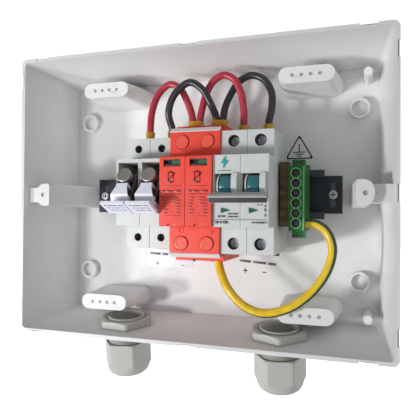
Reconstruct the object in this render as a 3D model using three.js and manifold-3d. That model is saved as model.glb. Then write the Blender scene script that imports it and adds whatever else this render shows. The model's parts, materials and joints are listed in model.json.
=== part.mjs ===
// DC combiner box: a shallow plastic base with a DIN rail that carries two hinged fuse holders,
// a two-pole surge protector, a two-pole breaker and an earth terminal block, with their wires
// and two cable glands. Millimetres; +X right, +Y into the wall, +Z up; the wall is the plane Y = 0.
import * as THREE from "three";
import { mergeVertices } from "three/addons/utils/BufferGeometryUtils.js";
import Module from "manifold-3d";

const wasm = await Module();
wasm.setup();

// ---------------------------------------------------------------- driving dimensions
const BASE = {
  rimHalfWidth: 133.5,
  rimHalfHeight: 102,
  backHalfWidth: 125.6,
  backHalfHeight: 94.6,
  depth: 64,
  wall: 2.6,
  floor: 2.5,
  cornerRadius: 4,
};
const RAIL = {
  frontY: -17.5,
  centreZ: 1,
  halfLength: 98,
  hatLeft: 78,
  hatRight: 86,
  halfHeight: 17.5,
  channelHalf: 13.5,
  depth: 7.5,
  sheet: 1,
  slotX: 91.5,
  slotHalfWidth: 2,
  slotHalfHeight: 9,
};
const SCREW_PILLAR = {
  x: 75.7,
  z: 80.8,
  frontY: -40.4,
  halfLength: 22.5,
  halfThick: 8,
  holePitch: 6.13,
  holeRadius: 1.3,
};
const WALL_BOSS = { x: 109.5, z: 61.8, radius: 7.2, frontY: -8, bore: 5.6 };
const PEG = { x: 115.3, z: 83.2, radius: 3, frontY: -27 };
const LID_POST = { flatX: 102, roundX: 121, halfHeight: 8.8, frontScale: 0.66, holeX: 114, holeRadius: 1.5 };
const NOTCH = { length: 10.6, depth: 1.4, width: 3.6, z: 84.8, x: 116 };

// Widths and faces of the devices, measured from the rail's front plane and its middle line.
const DEVICE = { rearY: 5.5, lipHalf: 18.2, hookHalf: 15.8, hookY: 1.6, seatY: -0.5, sideGap: 0.1 };
const FUSE_HOLDER = { x: -47.9, pole: 17.65, half: 38.4, shoulderY: -39.7, noseY: -55.4, noseHalf: 22.3 };
const SURGE = {
  x: -12.6,
  pole: 17.84,
  half: 40.5,
  tall: 46.5,
  shoulderY: -45.8,
  stepY: -34.5,
  noseY: -63.4,
  bayHalf: 22.9,
  bayFloor: -13.5,
};
const BREAKER = { x: 23.1, pole: 17.8, half: 40.5, shoulderY: -44.4, noseY: -61.6, noseHalf: 22.5 };
const TERMINAL = {
  fuseZ: 31,
  surgeZ: 34,
  breakerZ: 33.6,
  fuseBore: 2.8,
  breakerBore: 4,
  entryRadius: 2.7,
  entryDepth: 14,
};
const ENTRY_Y = { fuse: -20.5, surge: -18.5, breaker: -18.5 };

const CARRIER = {
  pivotY: -46.5,
  pivotZ: -10.6,
  openAngle: 65,
  fuseY: 13.5,
  fuseTop: 23.2,
  fuseLength: 38,
  fuseRadius: 5.15,
};
const TOGGLE = {
  pivotY: -58.5,
  pivotZ: 3.2,
  offAngle: 31.6,
  barrelRadius: 6.8,
  barrelX0: 4.9,
  barrelX1: 12.3,
};
const WINDOW = { x0: 0.9, x1: 12.6, z0: -4.4, z1: 10.8, depth: 11.1 };
const BLOCK = {
  x0: 65.9,
  x1: 76.2,
  frontY: -32.5,
  backY: -2.5,
  z0: -25.1,
  z1: 17.7,
  screws: 6,
  pitch: 6.55,
  lowestZ: -20,
};

const WIRE_RADIUS = 2.5;
const EARTH_WIRE_RADIUS = 3;
const FERRULE = { collar: 6, pin: 10, pinRadius: 1.8, bore: 4.5 };
const GLAND = {
  x: 58,
  y: -36,
  threadRadius: 14,
  boreRadius: 11,
  lockAcrossFlats: 36,
  lockThick: 5.4,
  bodyAcrossFlats: 33,
  domeAcrossFlats: 31,
  inside: 7.5,
  domeStart: 12.3,
  hexEnd: 28.5,
  domeEnd: 37,
};
// How far each gland's locknut and dome nut are turned, in degrees.
const GLAND_TURN = { left: { lock: 55, dome: 9 }, right: { lock: 40, dome: 10 } };
const CLEAR = 0.3;

// ---------------------------------------------------------------- materials
function paint(color, roughness, metalness = 0) {
  return new THREE.MeshStandardMaterial({ color, roughness, metalness });
}
const ENCLOSURE_GREY = paint(0xdfe0e0, 0.5);
const DEVICE_GREY = paint(0xd6d8d8, 0.45);
const CARRIER_WHITE = paint(0xe4e4ea, 0.4);
const SURGE_RED = paint(0xee5240, 0.42);
const BLACK_PLASTIC = paint(0x1c1e26, 0.5);
const TEAL = paint(0x2f6b72, 0.4);
const TIE_GREY = paint(0x8d8c90, 0.45);
const EARTH_GREEN = paint(0x2f7d3a, 0.5);
const FLAG_GREEN = paint(0x2c8a55, 0.4);
const STEEL = paint(0xb9bcc0, 0.35, 1);
const NICKEL = paint(0xc9c6c0, 0.3, 1);
const BRASS = paint(0xa98a4a, 0.4, 1);
const WIRE_RED = paint(0xbf3a4c, 0.45);
const WIRE_BLACK = paint(0x2b2b32, 0.45);
const WIRE_EARTH = paint(0xe3bf28, 0.45);
const FERRULE_OCHRE = paint(0xc99a2c, 0.45);
const GLAND_GREY = paint(0xb7b9b3, 0.55);
const SEAL_BLACK = paint(0x26262a, 0.8);

// ---------------------------------------------------------------- geometry helpers
function toSolid(geometry) {
  const bare = geometry.clone();
  bare.deleteAttribute("normal");
  bare.deleteAttribute("uv");
  const merged = mergeVertices(bare, 1e-4);
  const mesh = new wasm.Mesh({
    numProp: 3,
    vertProperties: merged.attributes.position.array,
    triVerts: new Uint32Array(merged.index.array),
  });
  return new wasm.Manifold(mesh);
}

function toGeometry(solid) {
  const mesh = solid.getMesh();
  const geometry = new THREE.BufferGeometry();
  geometry.setAttribute("position", new THREE.BufferAttribute(mesh.vertProperties, 3));
  geometry.setIndex(new THREE.BufferAttribute(mesh.triVerts, 1));
  geometry.computeVertexNormals();
  return geometry;
}

function join(first, ...others) {
  let solid = toSolid(first);
  for (const other of others) solid = solid.add(toSolid(other));
  return toGeometry(solid);
}

function cut(body, ...tools) {
  let solid = toSolid(body);
  for (const tool of tools) solid = solid.subtract(toSolid(tool));
  return toGeometry(solid);
}

function common(a, b) {
  return toGeometry(toSolid(a).intersect(toSolid(b)));
}

// A box between two corners.
function block(x0, x1, y0, y1, z0, z1) {
  const geometry = new THREE.BoxGeometry(x1 - x0, y1 - y0, z1 - z0);
  return geometry.translate((x0 + x1) / 2, (y0 + y1) / 2, (z0 + z1) / 2);
}

// A cylinder along one axis that starts at (x, y, z) and runs towards + on that axis.
function rod(axis, radius, length, x, y, z, sides = 12) {
  const geometry = new THREE.CylinderGeometry(radius, radius, length, sides);
  geometry.translate(0, length / 2, 0);
  if (axis === "x") geometry.rotateZ(-Math.PI / 2);
  if (axis === "z") geometry.rotateX(Math.PI / 2);
  return geometry.translate(x, y, z);
}

// An outline in X and Z pushed from yBack forward to yFront, and scaled to frontX, frontZ there.
function prism(shape, yBack, yFront, frontX = 1, frontZ = frontX, curveSegments = 4) {
  const depth = yBack - yFront;
  const geometry = new THREE.ExtrudeGeometry(shape, { depth, bevelEnabled: false, curveSegments });
  const position = geometry.attributes.position;
  for (let i = 0; i < position.count; i += 1) {
    if (position.getZ(i) < depth / 2) continue;
    position.setX(i, position.getX(i) * frontX);
    position.setY(i, position.getY(i) * frontZ);
  }
  return geometry.rotateX(Math.PI / 2).translate(0, yBack, 0);
}

// An outline in Y and Z pushed from x0 to x1.
function sidePrism(points, x0, x1) {
  const shape = new THREE.Shape(points.map(([y, z]) => new THREE.Vector2(y, z)));
  const geometry = new THREE.ExtrudeGeometry(shape, { depth: x1 - x0, bevelEnabled: false });
  const turn = new THREE.Matrix4().makeBasis(
    new THREE.Vector3(0, 1, 0),
    new THREE.Vector3(0, 0, 1),
    new THREE.Vector3(1, 0, 0),
  );
  return geometry.applyMatrix4(turn).translate(x0, 0, 0);
}

// A rectangle with round corners.
function roundedRect(halfWidth, halfHeight, radius) {
  const shape = new THREE.Shape();
  const w = halfWidth - radius;
  const h = halfHeight - radius;
  shape.absarc(w, h, radius, 0, Math.PI / 2);
  shape.absarc(-w, h, radius, Math.PI / 2, Math.PI);
  shape.absarc(-w, -h, radius, Math.PI, 1.5 * Math.PI);
  shape.absarc(w, -h, radius, 1.5 * Math.PI, 2 * Math.PI);
  return shape;
}

// A regular hexagon turned about its middle.
function hexagon(acrossFlats, turnDegrees) {
  const radius = acrossFlats / Math.sqrt(3);
  const corners = [];
  for (let i = 0; i < 6; i += 1) {
    const angle = THREE.MathUtils.degToRad(60 * i + turnDegrees);
    corners.push(new THREE.Vector2(radius * Math.cos(angle), radius * Math.sin(angle)));
  }
  return new THREE.Shape(corners);
}

// A turned solid about Z. The profile is a list of [radius, z] from low z to high z.
function turned(profile, sides) {
  const points = profile.map(([radius, z]) => new THREE.Vector2(radius, z));
  return new THREE.LatheGeometry(points, sides).rotateX(Math.PI / 2);
}

function addMesh(group, name, geometry, material) {
  const mesh = new THREE.Mesh(geometry, material);
  mesh.name = name;
  group.add(mesh);
  return mesh;
}

function placedGroup(parent, x, y, z) {
  const group = new THREE.Group();
  group.position.set(x, y, z);
  parent.add(group);
  return group;
}

const SIGNS = [-1, 1];
const draftAngle = Math.atan((BASE.rimHalfHeight - BASE.backHalfHeight) / BASE.depth);

// Half height of the bottom wall's inner face at a distance from the wall.
function innerHalfHeight(y) {
  const share = -y / BASE.depth;
  return THREE.MathUtils.lerp(BASE.backHalfHeight, BASE.rimHalfHeight, share) - BASE.wall;
}

// ---------------------------------------------------------------- enclosure base
function shell() {
  const { rimHalfWidth, rimHalfHeight, backHalfWidth, backHalfHeight } = BASE;
  const { depth, wall, floor, cornerRadius } = BASE;
  const outline = roundedRect(backHalfWidth, backHalfHeight, cornerRadius);
  const outer = prism(outline, 0, -depth, rimHalfWidth / backHalfWidth, rimHalfHeight / backHalfHeight);
  const past = 1;
  const grow = (depth + past - floor) / (depth - floor);
  const insideX = backHalfWidth - wall;
  const insideZ = backHalfHeight - wall;
  const frontX = insideX + (rimHalfWidth - backHalfWidth) * grow;
  const frontZ = insideZ + (rimHalfHeight - backHalfHeight) * grow;
  const hollow = prism(
    roundedRect(insideX, insideZ, cornerRadius - 1.5),
    -floor,
    -depth - past,
    frontX / insideX,
    frontZ / insideZ,
  );
  return { outer, hollow };
}

// The four oblong pillars that take the inner panel's screws.
function screwPillars() {
  const { x, z, frontY, halfLength, halfThick, holePitch, holeRadius } = SCREW_PILLAR;
  const pillars = [];
  const holes = [];
  for (const sx of SIGNS) {
    for (const sz of SIGNS) {
      const outline = roundedRect(halfLength, halfThick, halfThick - 1);
      pillars.push(prism(outline, -BASE.floor + 1, frontY, 0.83, 0.7, 3).translate(sx * x, 0, sz * z));
      for (const step of [-1.5, -0.5, 0.5, 1.5]) {
        holes.push(rod("y", holeRadius, 9, sx * x + step * holePitch, frontY - 0.5, sz * z, 8));
      }
    }
  }
  return { pillars, holes };
}

// The two lid posts at mid height, each joined to its side wall by a rib.
function lidPosts() {
  const { flatX, roundX, halfHeight, frontScale, holeX, holeRadius } = LID_POST;
  const posts = [];
  const holes = [];
  for (const side of SIGNS) {
    const flat = flatX - roundX;
    const outline = new THREE.Shape();
    outline.moveTo(side * flat, -halfHeight + 1.5);
    outline.lineTo(side * flat, halfHeight - 1.5);
    outline.lineTo(side * (flat + 1.5), halfHeight);
    outline.lineTo(side * (flat + 8), halfHeight);
    outline.absarc(side * (flat + 8), 0, halfHeight, Math.PI / 2, -Math.PI / 2, side > 0);
    outline.lineTo(side * (flat + 1.5), -halfHeight);
    outline.closePath();
    const frontZ = 8.1 / halfHeight;
    const post = prism(outline, -BASE.floor + 1, -BASE.depth, frontScale, frontZ);
    posts.push(post.translate(side * roundX, 0, 0));
    const inner = side * (roundX - 4);
    const reach = side * BASE.rimHalfWidth;
    posts.push(block(Math.min(inner, reach), Math.max(inner, reach), -58.5, -BASE.floor + 1, -5.5, 5.5));
    holes.push(rod("y", holeRadius, 14, side * holeX, -BASE.depth - 1, 0, 10));
  }
  return { posts, holes };
}

// Ring bosses over the wall screws, location pegs and the pads under the rail's ends.
function floorBosses() {
  const solids = [];
  const bores = [];
  for (const sx of SIGNS) {
    for (const sz of SIGNS) {
      const bossZ = RAIL.centreZ + sz * WALL_BOSS.z;
      const bossDepth = -BASE.floor + 1 - WALL_BOSS.frontY;
      solids.push(rod("y", WALL_BOSS.radius, bossDepth, sx * WALL_BOSS.x, WALL_BOSS.frontY, bossZ, 20));
      bores.push(rod("y", WALL_BOSS.bore, 5, sx * WALL_BOSS.x, WALL_BOSS.frontY - 0.5, bossZ, 20));
    }
    const padFront = RAIL.frontY + RAIL.depth;
    solids.push(rod("y", 6.5, -BASE.floor + 1 - padFront, sx * RAIL.slotX, padFront, RAIL.centreZ, 14));
    bores.push(rod("y", 1.9, 6.5, sx * RAIL.slotX, padFront - 0.5, RAIL.centreZ, 8));
  }
  for (const sz of SIGNS) {
    const pegDepth = -BASE.floor + 1 - PEG.frontY;
    solids.push(rod("y", PEG.radius, pegDepth, PEG.x, PEG.frontY, sz * PEG.z, 10));
  }
  return { solids, bores };
}

// Latch pockets let into the outside of the rim.
function rimNotches() {
  const { length, depth, width, z, x } = NOTCH;
  const half = length / 2;
  const front = -BASE.depth - 1;
  const back = -BASE.depth + width;
  const notches = [];
  for (const side of SIGNS) {
    const w0 = BASE.rimHalfWidth - depth;
    const h0 = BASE.rimHalfHeight - depth;
    for (const centre of [-z, 0, z]) {
      const ends = [side * w0, side * (w0 + 5)].sort((a, b) => a - b);
      notches.push(block(ends[0], ends[1], front, back, centre - half, centre + half));
    }
    for (const centre of [-x, 0, x]) {
      const ends = [side * h0, side * (h0 + 5)].sort((a, b) => a - b);
      notches.push(block(centre - half, centre + half, front, back, ends[0], ends[1]));
    }
  }
  return notches;
}

function glandHoles() {
  return SIGNS.map((side) => {
    const hole = rod("z", GLAND.threadRadius + CLEAR, 20, 0, 0, -10, 28);
    return hole.rotateX(draftAngle).translate(side * GLAND.x, GLAND.y, -innerHalfHeight(GLAND.y));
  });
}

function enclosureBase() {
  const { outer, hollow } = shell();
  const { pillars, holes } = screwPillars();
  const { posts, holes: postHoles } = lidPosts();
  const { solids, bores } = floorBosses();
  const inside = join(pillars[0], ...pillars.slice(1), ...posts, ...solids);
  const tray = join(cut(outer, hollow), common(inside, outer));
  return cut(tray, ...holes, ...postHoles, ...bores, ...rimNotches(), ...glandHoles());
}

// ---------------------------------------------------------------- rail
function dinRail() {
  const { hatLeft, hatRight, halfLength, halfHeight, channelHalf, depth, sheet } = RAIL;
  const inner = channelHalf - sheet;
  const section = [
    [0, halfHeight],
    [0, inner],
    [depth - sheet, inner],
    [depth - sheet, -inner],
    [0, -inner],
    [0, -halfHeight],
    [sheet, -halfHeight],
    [sheet, -channelHalf],
    [depth, -channelHalf],
    [depth, channelHalf],
    [sheet, channelHalf],
    [sheet, halfHeight],
  ];
  const hat = sidePrism(section, -hatLeft, hatRight);
  const tongue = block(-halfLength, halfLength, depth - sheet, depth, -channelHalf, channelHalf);
  const slots = SIGNS.map((side) => {
    const x = side * RAIL.slotX;
    const half = RAIL.slotHalfWidth;
    return block(x - half, x + half, depth - 3, depth + 1, -RAIL.slotHalfHeight, RAIL.slotHalfHeight);
  });
  return cut(join(hat, tongue), ...slots);
}

// A pan-head screw along Y with a cross in its head; its head rests on the plane y = 0.
function panScrew(headRadius, headHeight, shankRadius, shankLength) {
  const profile = [
    [0, -shankLength],
    [shankRadius, -shankLength],
    [shankRadius, 0],
    [headRadius, 0],
    [headRadius, headHeight * 0.5],
    [headRadius * 0.7, headHeight],
    [0, headHeight],
  ];
  const body = turned(profile, 12).rotateX(Math.PI / 2);
  const arm = headRadius * 0.62;
  const slot = headRadius * 0.13;
  const top = -headHeight;
  return cut(
    body,
    block(-arm, arm, top - 1, top + headHeight * 0.45, -slot, slot),
    block(-slot, slot, top - 1, top + headHeight * 0.45, -arm, arm),
  );
}

// ---------------------------------------------------------------- parts shared by the devices
// Side outline of a rail device: shoulders, nose and the back with its fixed hook.
function deviceOutline({ half, shoulderY, noseY, noseHalf }) {
  const { rearY, lipHalf, hookHalf, hookY, seatY } = DEVICE;
  return [
    [rearY, half],
    [rearY, hookHalf],
    [hookY, hookHalf],
    [hookY, lipHalf],
    [seatY, lipHalf],
    [seatY, -lipHalf],
    [rearY, -lipHalf],
    [rearY, -half],
    [shoulderY, -half],
    [shoulderY, -noseHalf],
    [noseY, -noseHalf],
    [noseY, noseHalf],
    [shoulderY, noseHalf],
    [shoulderY, half],
  ];
}

// Slot in the lower back that the rail latch slides in.
function latchSlot(x, half) {
  return block(x - 4.4, x + 4.4, 1.3, DEVICE.rearY + 1, -half - 1, -DEVICE.lipHalf + 0.5);
}

// Sliding rail latch: a plate with a screwdriver hole in its tail.
function latch(half) {
  const plate = block(-4, 4, DEVICE.hookY, 4.1, -half - 4, -DEVICE.hookHalf);
  return cut(plate, block(-2, 2, 0, 6, -half - 3, -half - 1.2));
}

// Conductor entries in the top and bottom faces of one pole.
function entries(x, y, half) {
  const { entryRadius, entryDepth } = TERMINAL;
  return [
    rod("z", entryRadius, entryDepth + 1, x, y, half - entryDepth),
    rod("z", entryRadius, entryDepth + 1, x, y, -half - 1),
  ];
}

// Clamp screw at the bottom of its well, with a cross in its head.
function clampScrew(radius, length) {
  const slot = radius * 0.16;
  const arm = radius * 0.75;
  return cut(
    rod("y", radius, length, 0, 0, 0),
    block(-arm, arm, -1, 0.9, -slot, slot),
    block(-slot, slot, -1, 0.9, -arm, arm),
  );
}

// ---------------------------------------------------------------- fuse holders
function fuseHousing() {
  const { pole, half, shoulderY } = FUSE_HOLDER;
  const wall = 1.5;
  const middle = pole / 2;
  const body = sidePrism(deviceOutline(FUSE_HOLDER), DEVICE.sideGap, pole - DEVICE.sideGap);
  const cavity = [
    block(wall, pole - wall, FUSE_HOLDER.noseY - 1, -21, -14.2, 19.8),
    block(wall, pole - wall, -52.9, -21, -20.8, -14),
    block(wall, pole - wall, -38.3, -21, -27, -14),
  ];
  const wells = SIGNS.map((side) => {
    return rod("y", TERMINAL.fuseBore, 12, middle, shoulderY - 1, side * TERMINAL.fuseZ);
  });
  return cut(
    body,
    ...cavity,
    ...wells,
    ...entries(middle, ENTRY_Y.fuse, half),
    rod("x", 1.8, pole + 2, -1, CARRIER.pivotY, CARRIER.pivotZ),
    latchSlot(middle, half),
  );
}

// The carrier about its hinge, as it stands when it is shut: a lever with a label plate in front,
// a flared body and two arms that hold the fuse. X is measured from the middle of the pole.
function fuseCarrier() {
  const plate = block(-8.4, 8.4, -11.2, -9.2, 14.6, 29.3);
  const body = sidePrism(
    [
      [-9.3, 14.6],
      [-4, 3.1],
      [-3.3, 0],
      [0, -3.3],
      [7, -3.3],
      [7.6, 22.2],
      [-1, 23.2],
      [-9.3, 17.8],
    ],
    -6.9,
    6.9,
  );
  const flare = new THREE.Shape();
  flare.moveTo(-5.9, -9.5);
  flare.lineTo(5.9, -9.5);
  flare.lineTo(6.4, -1.5);
  flare.lineTo(4.1, 5);
  flare.lineTo(4.1, 8.5);
  flare.lineTo(-4.1, 8.5);
  flare.lineTo(-4.1, 5);
  flare.lineTo(-6.4, -1.5);
  const neck = new THREE.ExtrudeGeometry(flare, { depth: 16.5, bevelEnabled: false }).translate(0, 0, 7);
  const foot = block(-6.9, 6.9, -9.5, 8, -4, 7.2);
  const lever = common(body, join(neck, foot));
  const knuckle = rod("x", 3.3, 13.8, -6.9, 0, 0, 16);
  const arms = SIGNS.map((side) => {
    const ends = [side * 5.5, side * 6.8].sort((a, b) => a - b);
    return block(ends[0], ends[1], -4, 17, 2, 18);
  });
  return cut(join(plate, lever, knuckle, ...arms), rod("x", 1.8, 20, -10, 0, 0));
}

// Cylindrical fuse link with its two end caps.
function fuseLink() {
  const { fuseLength, fuseRadius } = CARRIER;
  const cap = 10;
  const tube = fuseRadius - 0.45;
  const half = fuseLength / 2;
  const profile = [
    [0, -half],
    [fuseRadius - 0.5, -half],
    [fuseRadius, -half + 0.5],
    [fuseRadius, -half + cap],
    [tube, -half + cap],
    [tube, half - cap],
    [fuseRadius, half - cap],
    [fuseRadius, half - 0.5],
    [fuseRadius - 0.5, half],
    [0, half],
  ];
  return turned(profile, 16);
}

function addFuseHolders(railGroup) {
  const { x, pole, half, shoulderY } = FUSE_HOLDER;
  for (const number of [1, 2]) {
    const holder = placedGroup(railGroup, x + (number - 1) * pole, 0, 0);
    const middle = pole / 2;
    addMesh(holder, `fuse_holder_housing_${number}`, fuseHousing(), DEVICE_GREY);
    const pin = rod("x", 1.5, pole - 0.6, 0.3, CARRIER.pivotY, CARRIER.pivotZ);
    addMesh(holder, `fuse_hinge_pin_${number}`, pin, STEEL);
    const hinge = placedGroup(holder, middle, CARRIER.pivotY, CARRIER.pivotZ);
    hinge.rotation.x = THREE.MathUtils.degToRad(CARRIER.openAngle);
    addMesh(hinge, `fuse_carrier_${number}`, fuseCarrier(), CARRIER_WHITE);
    const link = addMesh(hinge, `fuse_link_${number}`, fuseLink(), NICKEL);
    link.position.set(0, CARRIER.fuseY, CARRIER.fuseTop - CARRIER.fuseLength / 2);
    const slide = addMesh(holder, `fuse_rail_latch_${number}`, latch(half), DEVICE_GREY);
    slide.position.x = middle;
    for (const [end, side] of [["lower", -1], ["upper", 1]]) {
      const screw = addMesh(holder, `fuse_clamp_screw_${end}_${number}`, clampScrew(2.3, 4), STEEL);
      screw.position.set(middle, shoulderY + 6.5, side * TERMINAL.fuseZ);
    }
  }
}

// ---------------------------------------------------------------- surge protector
function surgeBase() {
  const { pole, half, tall, shoulderY, stepY, bayHalf, bayFloor } = SURGE;
  const { rearY, lipHalf, hookHalf, hookY, seatY } = DEVICE;
  const rim = half + 2.5;
  const outline = [
    [rearY, tall],
    [rearY, hookHalf],
    [hookY, hookHalf],
    [hookY, lipHalf],
    [seatY, lipHalf],
    [seatY, -lipHalf],
    [rearY, -lipHalf],
    [rearY, -tall],
    [stepY, -tall],
    [stepY, -rim],
    [shoulderY + 2.3, -rim],
    [shoulderY, -half],
    [shoulderY, -bayHalf],
    [bayFloor, -bayHalf],
    [bayFloor, bayHalf],
    [shoulderY, bayHalf],
    [shoulderY, half],
    [shoulderY + 2.3, rim],
    [stepY, rim],
    [stepY, tall],
  ];
  const tools = [latchSlot(pole, tall)];
  for (const number of [0, 1]) {
    const middle = (number + 0.5) * pole;
    for (const side of SIGNS) {
      tools.push(rod("y", 4.9, 2, middle, shoulderY - 1.4, side * TERMINAL.surgeZ, 16));
      const ends = [side * 9, side * 11.2].sort((a, b) => a - b);
      tools.push(block(middle - 3.6, middle + 3.6, bayFloor - 1, -6, ends[0], ends[1]));
    }
    for (const offset of [-2.6, 2.6]) {
      const low = tall + 1 - TERMINAL.entryDepth;
      tools.push(rod("z", 3.3, TERMINAL.entryDepth, middle + offset, ENTRY_Y.surge, low));
    }
    tools.push(rod("z", 3.4, TERMINAL.entryDepth, middle, ENTRY_Y.surge, -tall - 1));
  }
  return cut(sidePrism(outline, DEVICE.sideGap, 2 * pole - DEVICE.sideGap), ...tools);
}

// Plug-in cartridge with a status window in front and two contact blades behind.
function surgeCartridge() {
  const { pole, noseY, bayHalf } = SURGE;
  const half = bayHalf - 0.4;
  const back = -13.8;
  const bevel = 0.9;
  const outline = [
    [back, half],
    [back, -half],
    [noseY + bevel, -half],
    [noseY, -half + bevel],
    [noseY, half - bevel],
    [noseY + bevel, half],
  ];
  const body = sidePrism(outline, DEVICE.sideGap, pole - DEVICE.sideGap);
  const blades = SIGNS.map((side) => {
    const ends = [side * 9.4, side * 10.8].sort((a, b) => a - b);
    return block(pole / 2 - 3.2, pole / 2 + 3.2, back - 0.5, -6.5, ends[0], ends[1]);
  });
  return cut(
    join(body, ...blades),
    block(3, 14.6, noseY - 1, noseY + 1.2, 15.9, 20.4),
    block(2.2, 15.6, noseY + 1.1, noseY + 2.8, 15.4, 20.9),
    block(pole / 2 - 3, pole / 2 + 3, noseY - 1, noseY + 1.4, -half - 1, -half + 1.6),
  );
}

function addSurgeProtector(railGroup) {
  const { x, pole, tall, shoulderY, noseY } = SURGE;
  const device = placedGroup(railGroup, x, 0, 0);
  addMesh(device, "surge_base", surgeBase(), SURGE_RED);
  const slide = addMesh(device, "surge_rail_latch", latch(tall), SURGE_RED);
  slide.position.x = pole;
  for (const number of [1, 2]) {
    const slot = placedGroup(device, (number - 1) * pole, 0, 0);
    addMesh(slot, `surge_cartridge_${number}`, surgeCartridge(), SURGE_RED);
    const flag = block(8.3, 15.2, noseY + 1.4, noseY + 2.5, 15.7, 20.6);
    addMesh(slot, `surge_status_flag_${number}`, flag, FLAG_GREEN);
    for (const [end, side] of [["lower", -1], ["upper", 1]]) {
      const cap = rod("y", 4.6, 1.4, pole / 2, shoulderY - 0.9, side * TERMINAL.surgeZ, 16);
      addMesh(slot, `surge_terminal_cap_${end}_${number}`, cap, SURGE_RED);
    }
  }
}

// ---------------------------------------------------------------- breaker
function breakerPole() {
  const { pole, half, shoulderY, noseY } = BREAKER;
  const { pivotZ } = TOGGLE;
  const middle = pole / 2;
  const body = sidePrism(deviceOutline(BREAKER), DEVICE.sideGap, pole - DEVICE.sideGap);
  const floorY = noseY + WINDOW.depth;
  const wells = SIGNS.map((side) => {
    return rod("y", TERMINAL.breakerBore, 12, middle, shoulderY - 1, side * TERMINAL.breakerZ, 16);
  });
  const opened = cut(
    body,
    block(WINDOW.x0, WINDOW.x1, noseY - 1, floorY, WINDOW.z0, WINDOW.z1),
    ...wells,
    ...entries(middle, ENTRY_Y.breaker, half),
  );
  const fin = rod("x", 7.3, 0.8, 3.8, TOGGLE.pivotY, TOGGLE.pivotZ, 24);
  const finRoot = block(3.8, 4.6, TOGGLE.pivotY, floorY + 0.5, WINDOW.z0 + 1.6, WINDOW.z1 - 1.6);
  const cheek = sidePrism(
    [
      [noseY + 0.5, pivotZ - 7.5],
      [noseY - 1.6, pivotZ - 7.5],
      [noseY - 3.2, pivotZ - 4.5],
      [noseY - 3.6, pivotZ],
      [noseY - 3.2, pivotZ + 4.5],
      [noseY - 1.6, pivotZ + 7.8],
      [noseY + 0.5, pivotZ + 7.8],
    ],
    WINDOW.x1,
    16.2,
  );
  return join(opened, fin, finRoot, cheek);
}

// Toggle about its pivot, pointing straight out: a barrel and a short lever.
function toggle() {
  const { barrelRadius, barrelX0, barrelX1 } = TOGGLE;
  const barrel = rod("x", barrelRadius, barrelX1 - barrelX0, barrelX0, 0, 0, 20);
  return join(barrel, block(barrelX0 + 0.6, barrelX1 - 0.6, -12.3, -5, -2.1, 2.1));
}

// Tie bar that joins the two levers, with a long groove in its front.
function tieBar() {
  const bar = sidePrism(
    [
      [-12.6, -2.3],
      [-12.6, 2.3],
      [-13.2, 2.7],
      [-16.6, 2.7],
      [-17.2, 2.1],
      [-17.2, -2.1],
      [-16.6, -2.7],
      [-13.2, -2.7],
    ],
    0.8,
    36.6,
  );
  return cut(bar, block(0, 38, -18, -15.9, -0.9, 0.9));
}

function addBreaker(railGroup) {
  const { x, pole, half, shoulderY } = BREAKER;
  const device = placedGroup(railGroup, x, 0, 0);
  const lever = placedGroup(device, 0, TOGGLE.pivotY, TOGGLE.pivotZ);
  lever.rotation.x = THREE.MathUtils.degToRad(TOGGLE.offAngle);
  addMesh(lever, "breaker_tie_bar", tieBar(), TIE_GREY);
  for (const number of [1, 2]) {
    const offset = (number - 1) * pole;
    const housing = addMesh(device, `breaker_pole_${number}`, breakerPole(), DEVICE_GREY);
    housing.position.x = offset;
    const handle = addMesh(lever, `breaker_toggle_${number}`, toggle(), TEAL);
    handle.position.x = offset;
    for (const [end, side] of [["lower", -1], ["upper", 1]]) {
      const screw = addMesh(device, `breaker_clamp_screw_${end}_${number}`, clampScrew(3.3, 5), STEEL);
      screw.position.set(offset + pole / 2, shoulderY + 4.5, side * TERMINAL.breakerZ);
    }
  }
  const poleTwo = device.getObjectByName("breaker_pole_2");
  poleTwo.geometry = cut(poleTwo.geometry, latchSlot(pole / 2, half));
  const slide = addMesh(device, "breaker_rail_latch", latch(half), BLACK_PLASTIC);
  slide.position.x = 1.5 * pole;
}

// ---------------------------------------------------------------- earth terminal block
function earthHousing() {
  const { x0, x1, frontY, backY, z0, z1, screws, pitch, lowestZ } = BLOCK;
  const middle = (x0 + x1) / 2 - 0.3;
  const ear = block(x0 + 2, x1, frontY + 1.5, frontY + 9, z0 - 4.5, z1 + 3.9);
  const body = join(block(x0, x1, frontY, backY, z0, z1), ear);
  const rings = [];
  const holes = [];
  for (let i = 0; i < screws; i += 1) {
    const z = lowestZ + i * pitch;
    rings.push(rod("y", 4, 2, middle, frontY - 0.8, z, 16));
    holes.push(rod("y", 3, 3, middle, frontY - 1.5, z, 12));
  }
  const trough = block(x0 - 1, 73.2, frontY + 1.4, frontY + 12.3, -22.7, 16.3);
  const wireWay = rod("x", 3.3, 6, 72, frontY + 7, lowestZ);
  return cut(join(body, ...rings), ...holes, trough, wireWay);
}

// Brass bar with stepped clamp lands along its open side.
function earthBar() {
  const y0 = BLOCK.frontY + 1.7;
  const bar = join(block(59.8, 72.9, y0, y0 + 10, -22.4, 16), block(59.8, 65.6, y0, y0 + 10, 15, 20.5));
  const steps = [-16.7, -10.2, -3.6, 2.9, 9.5].map((z) => {
    return block(59, 64.9, y0 - 1, y0 + 1.1, z - 1.1, z + 1.1);
  });
  return cut(bar, ...steps);
}

// Foot that grips both lips of the rail.
function earthFoot() {
  const { rearY, lipHalf, hookHalf, hookY } = DEVICE;
  const reach = lipHalf + 2.6;
  const outline = [
    [-2.2, reach],
    [-2.2, -reach],
    [rearY, -reach],
    [rearY, -hookHalf],
    [hookY, -hookHalf],
    [hookY, -lipHalf],
    [-0.5, -lipHalf],
    [-0.5, lipHalf],
    [hookY, lipHalf],
    [hookY, hookHalf],
    [rearY, hookHalf],
    [rearY, reach],
  ];
  return sidePrism(outline, BLOCK.x0 + 0.6, BLOCK.x1 - 0.6);
}

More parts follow.
